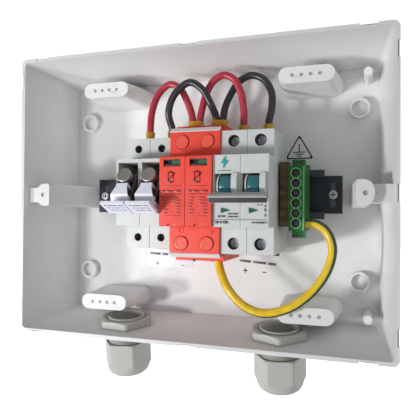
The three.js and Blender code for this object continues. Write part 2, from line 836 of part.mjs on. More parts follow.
function addEarthBlock(railGroup) {
  addMesh(railGroup, "earth_block_housing", earthHousing(), EARTH_GREEN);
  addMesh(railGroup, "earth_block_bar", earthBar(), BRASS);
  addMesh(railGroup, "earth_block_foot", earthFoot(), EARTH_GREEN);
}

// ---------------------------------------------------------------- wires and ferrules
// A round wire along points in the box frame.
function wire(points, radius, sides, steps) {
  const knots = points.map((point) => new THREE.Vector3(...point));
  const path = new THREE.CatmullRomCurve3(knots, false, "centripetal");
  const section = new THREE.Shape();
  for (let i = 0; i < sides; i += 1) {
    const angle = (2 * Math.PI * i) / sides;
    const corner = [radius * Math.cos(angle), radius * Math.sin(angle)];
    if (i === 0) section.moveTo(...corner);
    else section.lineTo(...corner);
  }
  return new THREE.ExtrudeGeometry(section, { steps, bevelEnabled: false, extrudePath: path });
}

// Where each device's top face lies in the box frame, and where its wires stand.
const TOP = {
  fuse: RAIL.centreZ + FUSE_HOLDER.half,
  surge: RAIL.centreZ + SURGE.tall,
  breaker: RAIL.centreZ + BREAKER.half,
};
const poleX = (device, number) => device.x + (number - 0.5) * device.pole;
const TWIN_HALF = 2.6;
const WIRES = {
  wire_fuse_1_to_surge_1: {
    material: WIRE_RED,
    points: [
      [poleX(FUSE_HOLDER, 1), -38, TOP.fuse + 1.9],
      [poleX(FUSE_HOLDER, 1), -38, TOP.fuse + 9],
      [-38.2, -37.5, 62],
      [-33.5, -37, 75],
      [-24.5, -37, 82],
      [-16.6, -37, 79],
      [-10.8, -37, 69.5],
      [-7, -36.3, 59],
      [poleX(SURGE, 1) - TWIN_HALF, -36, TOP.surge + 5],
      [poleX(SURGE, 1) - TWIN_HALF, -36, TOP.surge + 1.9],
    ],
  },
  wire_fuse_2_to_surge_2: {
    material: WIRE_BLACK,
    points: [
      [poleX(FUSE_HOLDER, 2), -38, TOP.fuse + 1.9],
      [poleX(FUSE_HOLDER, 2), -38.2, TOP.fuse + 9],
      [-22.7, -42.5, 59],
      [-17.6, -44.5, 72],
      [-5.6, -45, 80.1],
      [3.8, -44.5, 74.5],
      [9.6, -42.5, 64],
      [11.5, -37, 56.5],
      [poleX(SURGE, 2) - TWIN_HALF, -36, TOP.surge + 4.6],
      [poleX(SURGE, 2) - TWIN_HALF, -36, TOP.surge + 1.9],
    ],
  },
  wire_surge_1_to_breaker_1: {
    material: WIRE_RED,
    points: [
      [poleX(SURGE, 1) + TWIN_HALF, -36, TOP.surge + 1.9],
      [poleX(SURGE, 1) + TWIN_HALF, -36, TOP.surge + 5],
      [1.6, -36.8, 64.5],
      [5.6, -37.6, 75.5],
      [11, -38, 82.6],
      [17.9, -38, 85.4],
      [25.3, -38, 81.5],
      [30, -37.6, 72.4],
      [31.9, -36.6, 61],
      [poleX(BREAKER, 1), -36, TOP.breaker + 9],
      [poleX(BREAKER, 1), -36, TOP.breaker + 1.9],
    ],
  },
  wire_surge_2_to_breaker_2: {
    material: WIRE_BLACK,
    points: [
      [poleX(SURGE, 2) + TWIN_HALF, -36, TOP.surge + 1.9],
      [poleX(SURGE, 2) + TWIN_HALF, -36, TOP.surge + 6],
      [17.6, -33.6, 63.5],
      [21, -31.2, 73],
      [27.4, -31, 82],
      [36.1, -31, 85.6],
      [44.6, -31.2, 82.2],
      [50.6, -32.4, 73],
      [51.6, -34.8, 61],
      [poleX(BREAKER, 2), -36, TOP.breaker + 9],
      [poleX(BREAKER, 2), -36, TOP.breaker + 1.9],
    ],
  },
};
const EARTH_ROUTE = [
  [poleX(SURGE, 2), -36, RAIL.centreZ - SURGE.tall + 9],
  [poleX(SURGE, 2), -36, RAIL.centreZ - SURGE.tall - 1],
  [17.8, -40, -56],
  [24, -44, -65.5],
  [35.1, -46, -75.5],
  [49, -46.5, -79.6],
  [66.6, -46.5, -74.8],
  [82, -46, -62.4],
  [91.4, -45.5, -47.3],
  [93.6, -44.5, -34.2],
  [89.6, -43.4, -24.2],
  [84, -43, -20],
  [79, -43, -19],
  [73.6, -43, -19],
];

// Crimp ferrule for one wire: a pin, and a flared collar with the wire's end let into it.
function ferrule(pinRadius) {
  const { collar, pin, bore } = FERRULE;
  const profile = [
    [0, -pin],
    [pinRadius, -pin],
    [pinRadius, 0.2],
    [pinRadius + 1.3, 0.2],
    [3.3, collar],
    [WIRE_RADIUS + CLEAR, collar],
    [WIRE_RADIUS + CLEAR, collar - bore],
    [0, collar - bore],
  ];
  return turned(profile, 12);
}

// Ferrule for two wires side by side along X.
function twinFerrule() {
  const { collar, pin, pinRadius, bore } = FERRULE;
  const outline = roundedRect(5.9, 3.3, 3.2);
  const cup = prism(outline, 0, -collar + 0.2, 1, 1, 4).rotateX(-Math.PI / 2).translate(0, 0, 0.2);
  const holes = SIGNS.map((side) => {
    return rod("z", WIRE_RADIUS + CLEAR, bore + 1, side * TWIN_HALF, 0, collar - bore);
  });
  return cut(join(cup, rod("z", pinRadius, pin + 1, 0, 0, -pin)), ...holes);
}

function addWiring(root) {
  for (const [name, { material, points }] of Object.entries(WIRES)) {
    addMesh(root, name, wire(points, WIRE_RADIUS, 8, 26), material);
  }
  addMesh(root, "wire_earth", wire(EARTH_ROUTE, EARTH_WIRE_RADIUS, 10, 34), WIRE_EARTH);
  for (const number of [1, 2]) {
    const single = addMesh(root, `ferrule_fuse_${number}`, ferrule(FERRULE.pinRadius), FERRULE_OCHRE);
    single.position.set(poleX(FUSE_HOLDER, number), -38, TOP.fuse);
    const twin = addMesh(root, `ferrule_surge_${number}`, twinFerrule(), FERRULE_OCHRE);
    twin.position.set(poleX(SURGE, number), -36, TOP.surge);
    const last = addMesh(root, `ferrule_breaker_${number}`, ferrule(FERRULE.pinRadius), FERRULE_OCHRE);
    last.position.set(poleX(BREAKER, number), -36, TOP.breaker);
  }
}

// ---------------------------------------------------------------- cable glands
// In a gland's own frame the wall's inner face is z = 0 and the cable leaves towards -Z.
function hexRing(acrossFlats, turn, z0, z1, bore) {
  const outline = hexagon(acrossFlats, turn);
  const ring = new THREE.ExtrudeGeometry(outline, { depth: z1 - z0, bevelEnabled: false });
  ring.translate(0, 0, z0);
  return cut(ring, rod("z", bore, z1 - z0 + 2, 0, 0, z0 - 1, 28));
}

function glandBody(turn) {
  const { threadRadius, boreRadius, inside, bodyAcrossFlats } = GLAND;
  const outerFace = -BASE.wall - CLEAR;
  const flange = new THREE.ExtrudeGeometry(hexagon(bodyAcrossFlats, turn), { depth: 5, bevelEnabled: false });
  flange.translate(0, 0, outerFace - 5);
  const tube = rod("z", threadRadius, inside + 23, 0, 0, -23, 28);
  return cut(join(tube, flange), rod("z", boreRadius, inside + 30, 0, 0, -25, 24));
}

function domeNut(turn) {
  const { threadRadius, domeAcrossFlats, domeStart, hexEnd, domeEnd } = GLAND;
  const profile = [
    [0, -domeEnd],
    [10.5, -domeEnd],
    [13, -domeEnd + 1.6],
    [15, -domeEnd + 4.5],
    [16.1, -hexEnd - 1],
    [16.6, -hexEnd + 1.5],
    [17.9, -hexEnd + 3],
    [17.9, -domeStart - 1],
    [16.7, -domeStart],
    [0, -domeStart],
  ];
  const envelope = turned(profile, 28);
  const length = domeEnd - domeStart;
  const outline = hexagon(domeAcrossFlats, turn);
  const hex = new THREE.ExtrudeGeometry(outline, { depth: length, bevelEnabled: false });
  hex.translate(0, 0, -domeEnd);
  const mouth = 8.8;
  const thread = threadRadius + CLEAR;
  const bore = [
    [0, -domeEnd - 1],
    [mouth, -domeEnd - 1],
    [mouth, -domeEnd + 1.5],
    [thread, -domeEnd + 6.5],
    [thread, -domeStart + 1],
    [0, -domeStart + 1],
  ];
  return cut(common(envelope, hex), turned(bore, 28));
}

// Rubber sealing ring squeezed between the body and the dome nut.
function gasket() {
  const { domeEnd } = GLAND;
  const profile = [
    [7.6, -domeEnd + 2.2],
    [8.6, -domeEnd + 2.2],
    [13.4, -domeEnd + 7],
    [13.4, -23.4],
    [7.6, -23.4],
    [7.6, -domeEnd + 2.2],
  ];
  return turned(profile, 24);
}

function addGland(root, label, side, turn) {
  const group = placedGroup(root, side * GLAND.x, GLAND.y, -innerHalfHeight(GLAND.y));
  group.rotation.x = draftAngle;
  const { lockAcrossFlats, lockThick, threadRadius } = GLAND;
  const bore = threadRadius + CLEAR;
  addMesh(group, `gland_body_${label}`, glandBody(turn.dome), GLAND_GREY);
  const nut = hexRing(lockAcrossFlats, turn.lock, CLEAR, CLEAR + lockThick, bore);
  addMesh(group, `gland_locknut_${label}`, nut, GLAND_GREY);
  addMesh(group, `gland_dome_nut_${label}`, domeNut(turn.dome), GLAND_GREY);
  addMesh(group, `gland_seal_${label}`, gasket(), SEAL_BLACK);
}

// ---------------------------------------------------------------- the assembly
const combinerBox = new THREE.Group();
addMesh(combinerBox, "enclosure_base", enclosureBase(), ENCLOSURE_GREY);
const railGroup = placedGroup(combinerBox, 0, RAIL.frontY, RAIL.centreZ);
addMesh(railGroup, "din_rail", dinRail(), BLACK_PLASTIC);
for (const [label, side] of [["left", -1], ["right", 1]]) {
  const screw = addMesh(railGroup, `rail_screw_${label}`, panScrew(3, 2.2, 1.6, 6), STEEL);
  screw.position.set(side * RAIL.slotX, RAIL.depth - RAIL.sheet, 0);
}
addFuseHolders(railGroup);
addSurgeProtector(railGroup);
addBreaker(railGroup);
addEarthBlock(railGroup);
addWiring(combinerBox);
addGland(combinerBox, "left", -1, GLAND_TURN.left);
addGland(combinerBox, "right", 1, GLAND_TURN.right);

export default combinerBox;
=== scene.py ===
"""DC combiner box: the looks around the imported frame. Metres; +X right, +Y into the wall, +Z up."""
import json
import math

import bmesh
import bpy
from mathutils import Matrix, Vector

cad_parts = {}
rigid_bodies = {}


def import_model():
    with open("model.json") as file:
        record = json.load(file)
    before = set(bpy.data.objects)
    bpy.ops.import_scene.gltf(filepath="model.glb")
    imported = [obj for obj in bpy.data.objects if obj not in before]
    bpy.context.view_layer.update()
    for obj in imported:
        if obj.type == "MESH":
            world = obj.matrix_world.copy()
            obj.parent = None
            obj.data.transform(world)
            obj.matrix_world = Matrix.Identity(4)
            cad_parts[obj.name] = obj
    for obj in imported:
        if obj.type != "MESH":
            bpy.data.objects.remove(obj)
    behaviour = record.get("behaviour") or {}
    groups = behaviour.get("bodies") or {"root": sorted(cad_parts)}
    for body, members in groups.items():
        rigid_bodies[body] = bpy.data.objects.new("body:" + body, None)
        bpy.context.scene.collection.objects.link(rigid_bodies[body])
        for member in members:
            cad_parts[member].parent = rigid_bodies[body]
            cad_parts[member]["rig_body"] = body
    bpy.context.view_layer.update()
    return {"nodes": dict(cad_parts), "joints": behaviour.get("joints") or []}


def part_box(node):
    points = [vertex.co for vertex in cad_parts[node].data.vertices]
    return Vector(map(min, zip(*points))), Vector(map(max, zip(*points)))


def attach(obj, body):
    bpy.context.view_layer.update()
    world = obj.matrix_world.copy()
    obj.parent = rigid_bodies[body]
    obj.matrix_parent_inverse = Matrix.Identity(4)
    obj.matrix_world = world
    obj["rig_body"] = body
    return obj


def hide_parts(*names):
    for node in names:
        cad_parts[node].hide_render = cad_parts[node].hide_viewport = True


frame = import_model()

MM = 0.001
SCENE = bpy.context.scene
BOX = "box"
SIDES = (("left", -1), ("right", 1))
JOINTS = {joint["name"]: joint for joint in frame["joints"]}


# -------- camera
CAMERA_PLACE = Vector((117.09, -370.55, -13.66)) * MM
CAMERA_YAW, CAMERA_PITCH, CAMERA_ROLL = 18.16, 0.865, 0.433
CAMERA_LENS = 42.04


def placed(name, data):
    """A new object in the scene that holds that data."""
    made = bpy.data.objects.new(name, data)
    SCENE.collection.objects.link(made)
    return made


def at(x, y, z):
    return Matrix.Translation(Vector((x, y, z)) * MM)


def add_camera():
    data = bpy.data.cameras.new("camera")
    data.lens = CAMERA_LENS
    data.sensor_width = 36
    data.sensor_fit = "HORIZONTAL"
    data.clip_start = 0.01
    camera = placed("camera", data)
    turn = Matrix.Rotation(math.radians(CAMERA_YAW), 4, "Z")
    turn = turn @ Matrix.Rotation(math.radians(90 + CAMERA_PITCH), 4, "X")
    turn = turn @ Matrix.Rotation(math.radians(CAMERA_ROLL), 4, "Z")
    camera.matrix_world = Matrix.Translation(CAMERA_PLACE) @ turn
    SCENE.camera = camera


# -------- materials
def rgb(red, green, blue):
    """An sRGB colour given from 0 to 255, as linear values with alpha."""
    linear = []
    for value in (red, green, blue):
        share = value / 255
        linear.append(share / 12.92 if share <= 0.04045 else ((share + 0.055) / 1.055) ** 2.4)
    return (*linear, 1)


def shade(colour, factor):
    return (*(min(1.0, channel * factor) for channel in colour[:3]), 1)


class Nodes:
    """Short calls that add nodes to a tree. Each returns outputs, to be used as inputs of the next."""

    def __init__(self, tree):
        self.tree = tree

    def link(self, source, target):
        self.tree.links.new(source, target)

    def node(self, kind, inputs=(), **settings):
        """A node whose inputs, by name or number, are set to values or linked to sockets."""
        made = self.tree.nodes.new("ShaderNode" + kind)
        for key, value in settings.items():
            setattr(made, key, value)
        for key, value in dict(inputs).items():
            if isinstance(value, bpy.types.NodeSocket):
                self.link(value, made.inputs[key])
            else:
                made.inputs[key].default_value = value
        return made.outputs

    def maths(self, operation, *values, **settings):
        return self.node("Math", enumerate(values), operation=operation, **settings)[0]

    def split(self, vector):
        return self.node("SeparateXYZ", {"Vector": vector})


class Shader(Nodes):
    """A material with a Principled shader and short calls for what feeds it."""

    def __init__(self, name, roughness=0.5, metallic=0.0, specular=0.5, coat=0.0, subsurface=0.0):
        self.material = bpy.data.materials.new(name)
        self.material.use_nodes = True
        super().__init__(self.material.node_tree)
        self.bsdf = self.tree.nodes["Principled BSDF"]
        constants = {"Metallic": metallic, "Roughness": roughness, "Specular IOR Level": specular}
        constants |= {"Coat Weight": coat, "Coat Roughness": 0.2}
        if subsurface:
            constants |= {"Subsurface Weight": subsurface, "Subsurface Radius": (1, 0.5, 0.4)}
            constants["Subsurface Scale"] = 0.0006
        for key, value in constants.items():
            self.bsdf.inputs[key].default_value = value
        self.place = self.node("TexCoord")["Object"]

    def stretched(self, scale, place=None):
        return self.node("Mapping", {"Scale": scale, "Vector": place or self.place})["Vector"]

    def noise(self, size, detail=3.0, rough=0.55, place=None):
        """Noise whose features are about size metres across."""
        inputs = {"Scale": 1 / size, "Detail": detail, "Roughness": rough, "Vector": place or self.place}
        return self.node("TexNoise", inputs)["Fac"]

    def remap(self, source, low, high, to_low=0.0, to_high=1.0):
        inputs = {"Value": source, "From Min": low, "From Max": high, "To Min": to_low, "To Max": to_high}
        return self.node("MapRange", inputs)["Result"]

    def mix(self, factor, first, second):
        """A colour mix; first and second are colours or sockets."""
        return self.node("Mix", {"Factor": factor, 6: first, 7: second}, data_type="RGBA")[2]

    def crevices(self, reach, strength):
        """1 in corners and slots that lie within reach of another surface, and 0 in the open."""
        open_share = self.node("AmbientOcclusion", {"Distance": reach}, samples=4)["AO"]
        return self.remap(open_share, 0.35, 0.95, strength, 0.0)

    def edges(self, strength):
        """Towards 1 on convex edges."""
        return self.remap(self.node("NewGeometry")["Pointiness"], 0.53, 0.62, 0.0, strength)

    def colour(self, value):
        self.link(value, self.bsdf.inputs["Base Color"])

    def roughness(self, value):
        self.link(value, self.bsdf.inputs["Roughness"])

    def bump(self, heights):
        """Bumps laid on each other: each is a height, its strength and its depth in metres."""
        normal = None
        for height, strength, depth in heights:
            inputs = {"Strength": strength, "Distance": depth, "Height": height}
            if normal is not None:
                inputs["Normal"] = normal
            normal = self.node("Bump", inputs)["Normal"]
        self.link(normal, self.bsdf.inputs["Normal"])


MOTTLE = 0.04


def plastic(name, colour, roughness, grain=0.3, grain_depth=0.02, dust_and_shade=0.5, painted_rim_shade=None, **options):
    """Moulded plastic: a spark-eroded grain of that size in mm, faint flow marks, and dust mixed with painted
    shade in corners.

    Painted shade towards the rim is given as the factor for the colour there, and the depths in mm where that
    is full and where it ends.
    """
    made = Shader(name, roughness, **options)
    flow = made.noise(28 * MM, 4)
    tone = made.mix(made.remap(flow, 0.3, 0.7), shade(colour, 1 - MOTTLE), shade(colour, 1 + MOTTLE))
    # Painted shade: the colour is made darker towards the rim.
    if painted_rim_shade:
        grey, full, end = painted_rim_shade
        near_rim = made.remap(made.split(made.place)["Y"], full * MM, end * MM, 1.0, 0.0)
        tone = made.mix(near_rim, tone, shade(colour, grey))
    dust = made.noise(3 * MM, 5, 0.7)
    # Painted shade in corners and slots, broken up by a dust pattern.
    corner = made.maths("MULTIPLY", made.crevices(3.5 * MM, dust_and_shade), made.remap(dust, 0.25, 0.75, 0.5, 1.0))
    made.colour(made.mix(corner, tone, shade(colour, 0.42)))
    made.roughness(made.remap(made.noise(6 * MM, 4), 0.3, 0.7, roughness - 0.06, roughness + 0.08))
    made.bump([(flow, 0.05, 0.15 * MM), (made.noise(grain * MM, 3), 0.5, grain_depth * MM)])
    return made.material


def metal(name, colour, roughness, brushed=(1, 1, 14), worn=0.5, tarnish=0.25):
    """Metal with drawn or rolled lines, tarnish in patches and brighter edges."""
    made = Shader(name, roughness, metallic=1.0)
    lines = made.noise(1.2 * MM, 4, 0.7, made.stretched(brushed))
    patches = made.noise(5 * MM, 5, 0.65)
    dull = made.mix(made.remap(patches, 0.4, 0.75, 0.0, tarnish), colour, shade(colour, 0.35))
    made.colour(made.mix(made.edges(worn), dull, shade(colour, 1.35)))
    made.roughness(made.remap(lines, 0.3, 0.7, roughness - 0.08, roughness + 0.14))
    made.bump([(lines, 0.35, 0.02 * MM), (patches, 0.15, 0.05 * MM)])
    return made.material


def coated_metal(name, colour):
    """Powder-coated steel: orange peel, and bare bright edges where the coating has worn through."""
    made = Shader(name, 0.42, specular=0.45)
    peel = made.noise(0.9 * MM, 3)
    patches = made.noise(9 * MM, 5, 0.6)
    tone = made.mix(made.remap(patches, 0.3, 0.7), shade(colour, 0.8), shade(colour, 1.3))
    made.colour(made.mix(made.edges(0.5), tone, rgb(120, 122, 126)))
    made.roughness(made.remap(patches, 0.3, 0.7, 0.34, 0.52))
    made.bump([(peel, 0.35, 0.03 * MM)])
    return made.material


STRIPE_TURNS_PER_METRE = 0.78
STRIPE_PHASE = 0.39


def insulation(name, colour, stripe=None):
    """Extruded cable insulation: drawn lines along the wire, and a stripe that turns slowly round it."""
    made = Shader(name, 0.36, specular=0.5, coat=0.15)
    along = made.node("UVMap", uv_map="along_wire")["UV"]
    drawn = made.stretched((1, 30, 1), along)
    lines = made.node("TexNoise", {"Scale": 14, "Detail": 3, "Vector": drawn})["Fac"]
    patches = made.noise(7 * MM, 4)
    tone = made.mix(made.remap(patches, 0.3, 0.7), shade(colour, 0.88), shade(colour, 1.1))
    if stripe:
        split = made.split(along)
        turns = made.maths("MULTIPLY_ADD", split["Y"], STRIPE_TURNS_PER_METRE, split["X"])
        share = made.maths("FRACT", made.maths("ADD", turns, STRIPE_PHASE))
        band = made.remap(made.maths("PINGPONG", share, 0.5), 0.325, 0.345)
        second = made.mix(made.remap(patches, 0.3, 0.7), shade(stripe, 0.85), shade(stripe, 1.15))
        tone = made.mix(band, tone, second)
    made.colour(tone)
    made.roughness(made.remap(patches, 0.3, 0.7, 0.3, 0.45))
    made.bump([(lines, 0.2, 0.03 * MM), (made.noise(0.7 * MM, 3), 0.15, 0.02 * MM)])
    return made.material


def vinyl(name, colour, roughness=0.35):
    """Printed film: thin, slightly rippled, with fine dust."""
    made = Shader(name, roughness, coat=0.2)
    ripple = made.noise(12 * MM, 3)
    specks = made.noise(0.8 * MM, 4, 0.7)
    made.colour(made.mix(made.remap(specks, 0.55, 0.8, 0.0, 0.35), colour, shade(colour, 0.75)))
    made.roughness(made.remap(specks, 0.3, 0.7, roughness - 0.05, roughness + 0.1))
    made.bump([(ripple, 0.15, 0.1 * MM), (specks, 0.1, 0.01 * MM)])
    return made.material


# The shell has painted shade towards its rim and in its corners.
WHITE_SHELL = plastic(
    "enclosure_plastic", rgb(238, 238, 237), 0.44, grain=0.45, grain_depth=0.012, dust_and_shade=0.3, specular=0.35,
    painted_rim_shade=(0.77, -62, -26),
)
DEVICE_GREY = plastic("device_plastic", rgb(203, 206, 203), 0.4)
CARRIER_WHITE = plastic("carrier_plastic", rgb(226, 226, 238), 0.34)
SURGE_RED = plastic("surge_plastic", rgb(231, 73, 57), 0.38, subsurface=0.15)
SURGE_CAP = plastic("surge_cap_plastic", rgb(230, 92, 72), 0.34, subsurface=0.15)
TEAL = plastic("toggle_plastic", rgb(38, 104, 112), 0.33, coat=0.2)
TIE_GREY = plastic("tie_plastic", rgb(158, 154, 154), 0.36, dust_and_shade=0.6)
GREEN = plastic("earth_plastic", rgb(36, 108, 46), 0.42, grain=0.35, dust_and_shade=0.6)
LIGHT_GREEN = plastic("earth_plastic_light", rgb(112, 176, 112), 0.42, grain=0.35, dust_and_shade=0.3)
BLACK = plastic("black_plastic", rgb(34, 35, 40), 0.42, grain=0.35, dust_and_shade=0.3)
# Dark plastic, also used as painted shade in holes, grooves and recesses.
DARK_AND_SHADE = plastic("dark_plastic_and_painted_shade", rgb(58, 54, 56), 0.5, grain=0.4, dust_and_shade=0.4)
GLAND_GREY = plastic("gland_plastic", rgb(178, 179, 172), 0.5, grain=0.5, grain_depth=0.03)
FERRULE = plastic("ferrule_plastic", rgb(206, 156, 42), 0.38)
STRIP_GREY = plastic("strip_plastic", rgb(214, 210, 204), 0.45, dust_and_shade=0.4)
FLAG_GREEN = plastic("flag_plastic", rgb(58, 104, 76), 0.3, dust_and_shade=0.3, coat=0.5)
RUBBER = plastic("seal_rubber", rgb(34, 34, 37), 0.75, grain=0.6, grain_depth=0.04, dust_and_shade=0.2)
STEEL = metal("zinc_steel", rgb(176, 178, 182), 0.36)
DARK_STEEL = metal("dark_zinc_steel", rgb(92, 92, 94), 0.4, tarnish=0.5)
SCREW_BRIGHT = metal("bright_zinc_steel", rgb(232, 232, 234), 0.42, tarnish=0.15)
CLIP_METAL = metal("clip_metal", rgb(118, 110, 106), 0.46, brushed=(1, 12, 1), tarnish=0.5)
TINNED = metal("tinned_copper", rgb(178, 160, 138), 0.34, brushed=(1, 12, 1))
CAP_METAL = metal("nickel_cap", rgb(190, 182, 174), 0.4, brushed=(9, 9, 1), worn=0.3)
BRASS = metal("aged_brass", rgb(108, 94, 72), 0.42, brushed=(1, 1, 10), worn=0.7, tarnish=0.7)
RAIL_BLACK = coated_metal("rail_coating", rgb(41, 45, 53))
CERAMIC = plastic("fuse_ceramic", rgb(222, 216, 204), 0.55, grain=0.4, dust_and_shade=0.4)
RED_WIRE = insulation("red_insulation", rgb(178, 44, 62))
BLACK_WIRE = insulation("black_insulation", rgb(42, 42, 50))
EARTH_WIRE = insulation("earth_insulation", rgb(228, 190, 34), stripe=rgb(30, 80, 52))
STICKER = vinyl("white_sticker", rgb(222, 220, 228))
CLEAR_FILM = vinyl("wall_white_sticker", rgb(238, 238, 237), 0.42)
PRINT_BLACK = vinyl("black_print", rgb(30, 30, 34))
PRINT_GREY = vinyl("grey_print", rgb(92, 92, 98))
PRINT_PINK = vinyl("faded_red_print", rgb(186, 120, 124))
PRINT_RED = vinyl("dark_red_print", rgb(150, 34, 32))
PRINT_GREEN = vinyl("green_print", rgb(22, 96, 72))
PRINT_TEAL = vinyl("teal_print", rgb(44, 158, 158))
# Painted shade, in the latch pockets and behind the rail's slots.
PAINTED_SHADE_GREY = plastic("painted_shade_grey", rgb(98, 98, 100), 0.5, grain=0.4, dust_and_shade=0.3)
PLUG_GREY = plastic("plug_plastic", rgb(176, 176, 176), 0.5, grain=0.4, dust_and_shade=0.4)
# Painted shade for the insides of the terminal wells.
WELL_SHADE = plastic("painted_well_shade", rgb(104, 98, 106), 0.5, grain=0.4, dust_and_shade=0.2)


def body_of_node(node):
    return frame["nodes"][node]["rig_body"]


def finish_piece(name, bm, material, body, sharp=35):
    """Turns a bmesh into a piece with smooth faces, split along sharp edges, that rides on a body."""
    mesh = bpy.data.meshes.new(name)
    bmesh.ops.recalc_face_normals(bm, faces=bm.faces)
    bm.to_mesh(mesh)
    bm.free()
    for polygon in mesh.polygons:
        polygon.use_smooth = True
    mesh.set_sharp_from_angle(angle=math.radians(sharp))
    mesh.materials.append(material)
    piece = placed(name, mesh)
    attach(piece, body)
    return piece


def stand_in(node, bm, material, sharp):
    """A shape of its own that stands for a CAD node, on that node's body; the node itself is hidden."""
    piece = finish_piece(node + "_finish", bm, material, body_of_node(node), sharp)
    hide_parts(node)
    return piece


# Edges that bend by more than this, in degrees, are rounded and stay sharp in the shading.
EDGE_ANGLE = 32
# Faces with more corners than this are cut into triangles.
MOST_CORNERS = 8


def refine(node, material, width=0.3, segments=2):
    """A finer copy of a CAD node that stands for it: flat faces joined up and its edges rounded off."""
    source = frame["nodes"][node]
    bm = bmesh.new()
    bm.from_mesh(source.data)
    bmesh.ops.remove_doubles(bm, verts=bm.verts, dist=1e-6)
    bmesh.ops.dissolve_limit(
        bm, angle_limit=math.radians(0.4), use_dissolve_boundaries=False, verts=bm.verts, edges=bm.edges
    )
    large = [face for face in bm.faces if len(face.verts) > MOST_CORNERS]
    bmesh.ops.triangulate(bm, faces=large, quad_method="BEAUTY", ngon_method="BEAUTY")
    piece = stand_in(node, bm, material, EDGE_ANGLE)
    edge = piece.modifiers.new("rounded_edges", "BEVEL")
    edge.width = width * MM
    edge.segments = segments
    edge.limit_method = "ANGLE"
    edge.angle_limit = math.radians(EDGE_ANGLE)
    edge.use_clamp_overlap = True
    edge.miter_outer = "MITER_ARC"
    normals = piece.modifiers.new("even_normals", "WEIGHTED_NORMAL")
    normals.keep_sharp = False
    return piece


def slab(bm, low, high, bevel=0.1, matrix=None):
    """A block between two corners in mm, with rounded edges."""
    low, high = Vector(low), Vector(high)
    centre = (low + high) / 2
    size = high - low
    place = Matrix.Translation(centre * MM) @ Matrix.Diagonal((*(size * MM), 1))
    made = bmesh.ops.create_cube(bm, size=1, matrix=place)
    corners = made["verts"]
    if bevel:
        edges = list({edge for corner in corners for edge in corner.link_edges})
        made = bmesh.ops.bevel(
            bm, geom=edges, offset=bevel * MM, segments=2, profile=0.5, affect="EDGES", clamp_overlap=True
        )
        corners = made["verts"]
    if matrix is not None:
        bmesh.ops.transform(bm, matrix=matrix, verts=corners)
    return corners


def blocks(name, material, body, corners, bevel=0.1, matrix=None):
    """A piece made of blocks, each between two corners in mm."""
    bm = bmesh.new()
    for low, high in corners:
        slab(bm, low, high, bevel, matrix)
    finish_piece(name, bm, material, body)


def rings(bm, loops, close=False):
    """Skins a list of point loops; the ends are filled unless the loops close on themselves."""
    rows = [[bm.verts.new(point) for point in loop] for loop in loops]
    count = len(rows[0])
    pairs = list(zip(rows, rows[1:])) + ([(rows[-1], rows[0])] if close else [])
    for first, second in pairs:
        for i in range(count):
            j = (i + 1) % count
            bm.faces.new((first[i], first[j], second[j], second[i]))
    if not close:
        bm.faces.new(rows[0][::-1])
        bm.faces.new(rows[-1])
    return rows


def turned(bm, profile, matrix, sides=48, radius=None, close=False):
    """A turned solid about local Z. The profile is [radius, z] in mm; radius(angle, r) may bend it."""
    loops = []
    for r, z in profile:
        loop = []
        for i in range(sides):
            angle = 2 * math.pi * i / sides
            reach = radius(angle, r) if radius else r
            loop.append(matrix @ (Vector((reach * math.cos(angle), reach * math.sin(angle), z)) * MM))
        loops.append(loop)
    return rings(bm, loops, close)


def collars(name, material, profile, places, sides=48):
    """A piece of the box made of the same closed turned ring at each of those places."""
    bm = bmesh.new()
    for place in places:
        turned(bm, profile, place, sides, close=True)
    finish_piece(name, bm, material, BOX, sharp=40)


def facing(x, y, z, direction="front"):
    """A frame at that place in mm whose Z looks out of the box, up, or to one side."""
    turns = {
        "front": Matrix.Rotation(math.radians(90), 4, "X"),
        "up": Matrix.Identity(4),
        "right": Matrix.Rotation(math.radians(90), 4, "Y"),
    }
    return at(x, y, z) @ turns[direction]


def span(node):
    """A CAD node's lowest and highest corner, in mm."""
    low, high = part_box(node)
    return low / MM, high / MM


def centre_of(node):
    low, high = span(node)
    return (low + high) / 2


# -------- wires
def smooth_path(points, per_span=8):
    """A centripetal Catmull-Rom curve through the points."""
    knots = [Vector(point) for point in points]
    knots = [2 * knots[0] - knots[1], *knots, 2 * knots[-1] - knots[-2]]
    path = []
    for a, b, c, d in zip(knots, knots[1:], knots[2:], knots[3:]):
        first, middle, last = ((q - p).length ** 0.5 for p, q in ((a, b), (b, c), (c, d)))
        start = (b - a) / first - (c - a) / (first + middle) + (c - b) / middle
        end = (c - b) / middle - (d - b) / (middle + last) + (d - c) / last
        start, end = start * middle, end * middle
        for i in range(per_span):
            t = i / per_span
            path.append(
                b + start * t + (3 * (c - b) - 2 * start - end) * t**2 + (2 * (b - c) + start + end) * t**3
            )
    path.append(knots[-2])
    return path


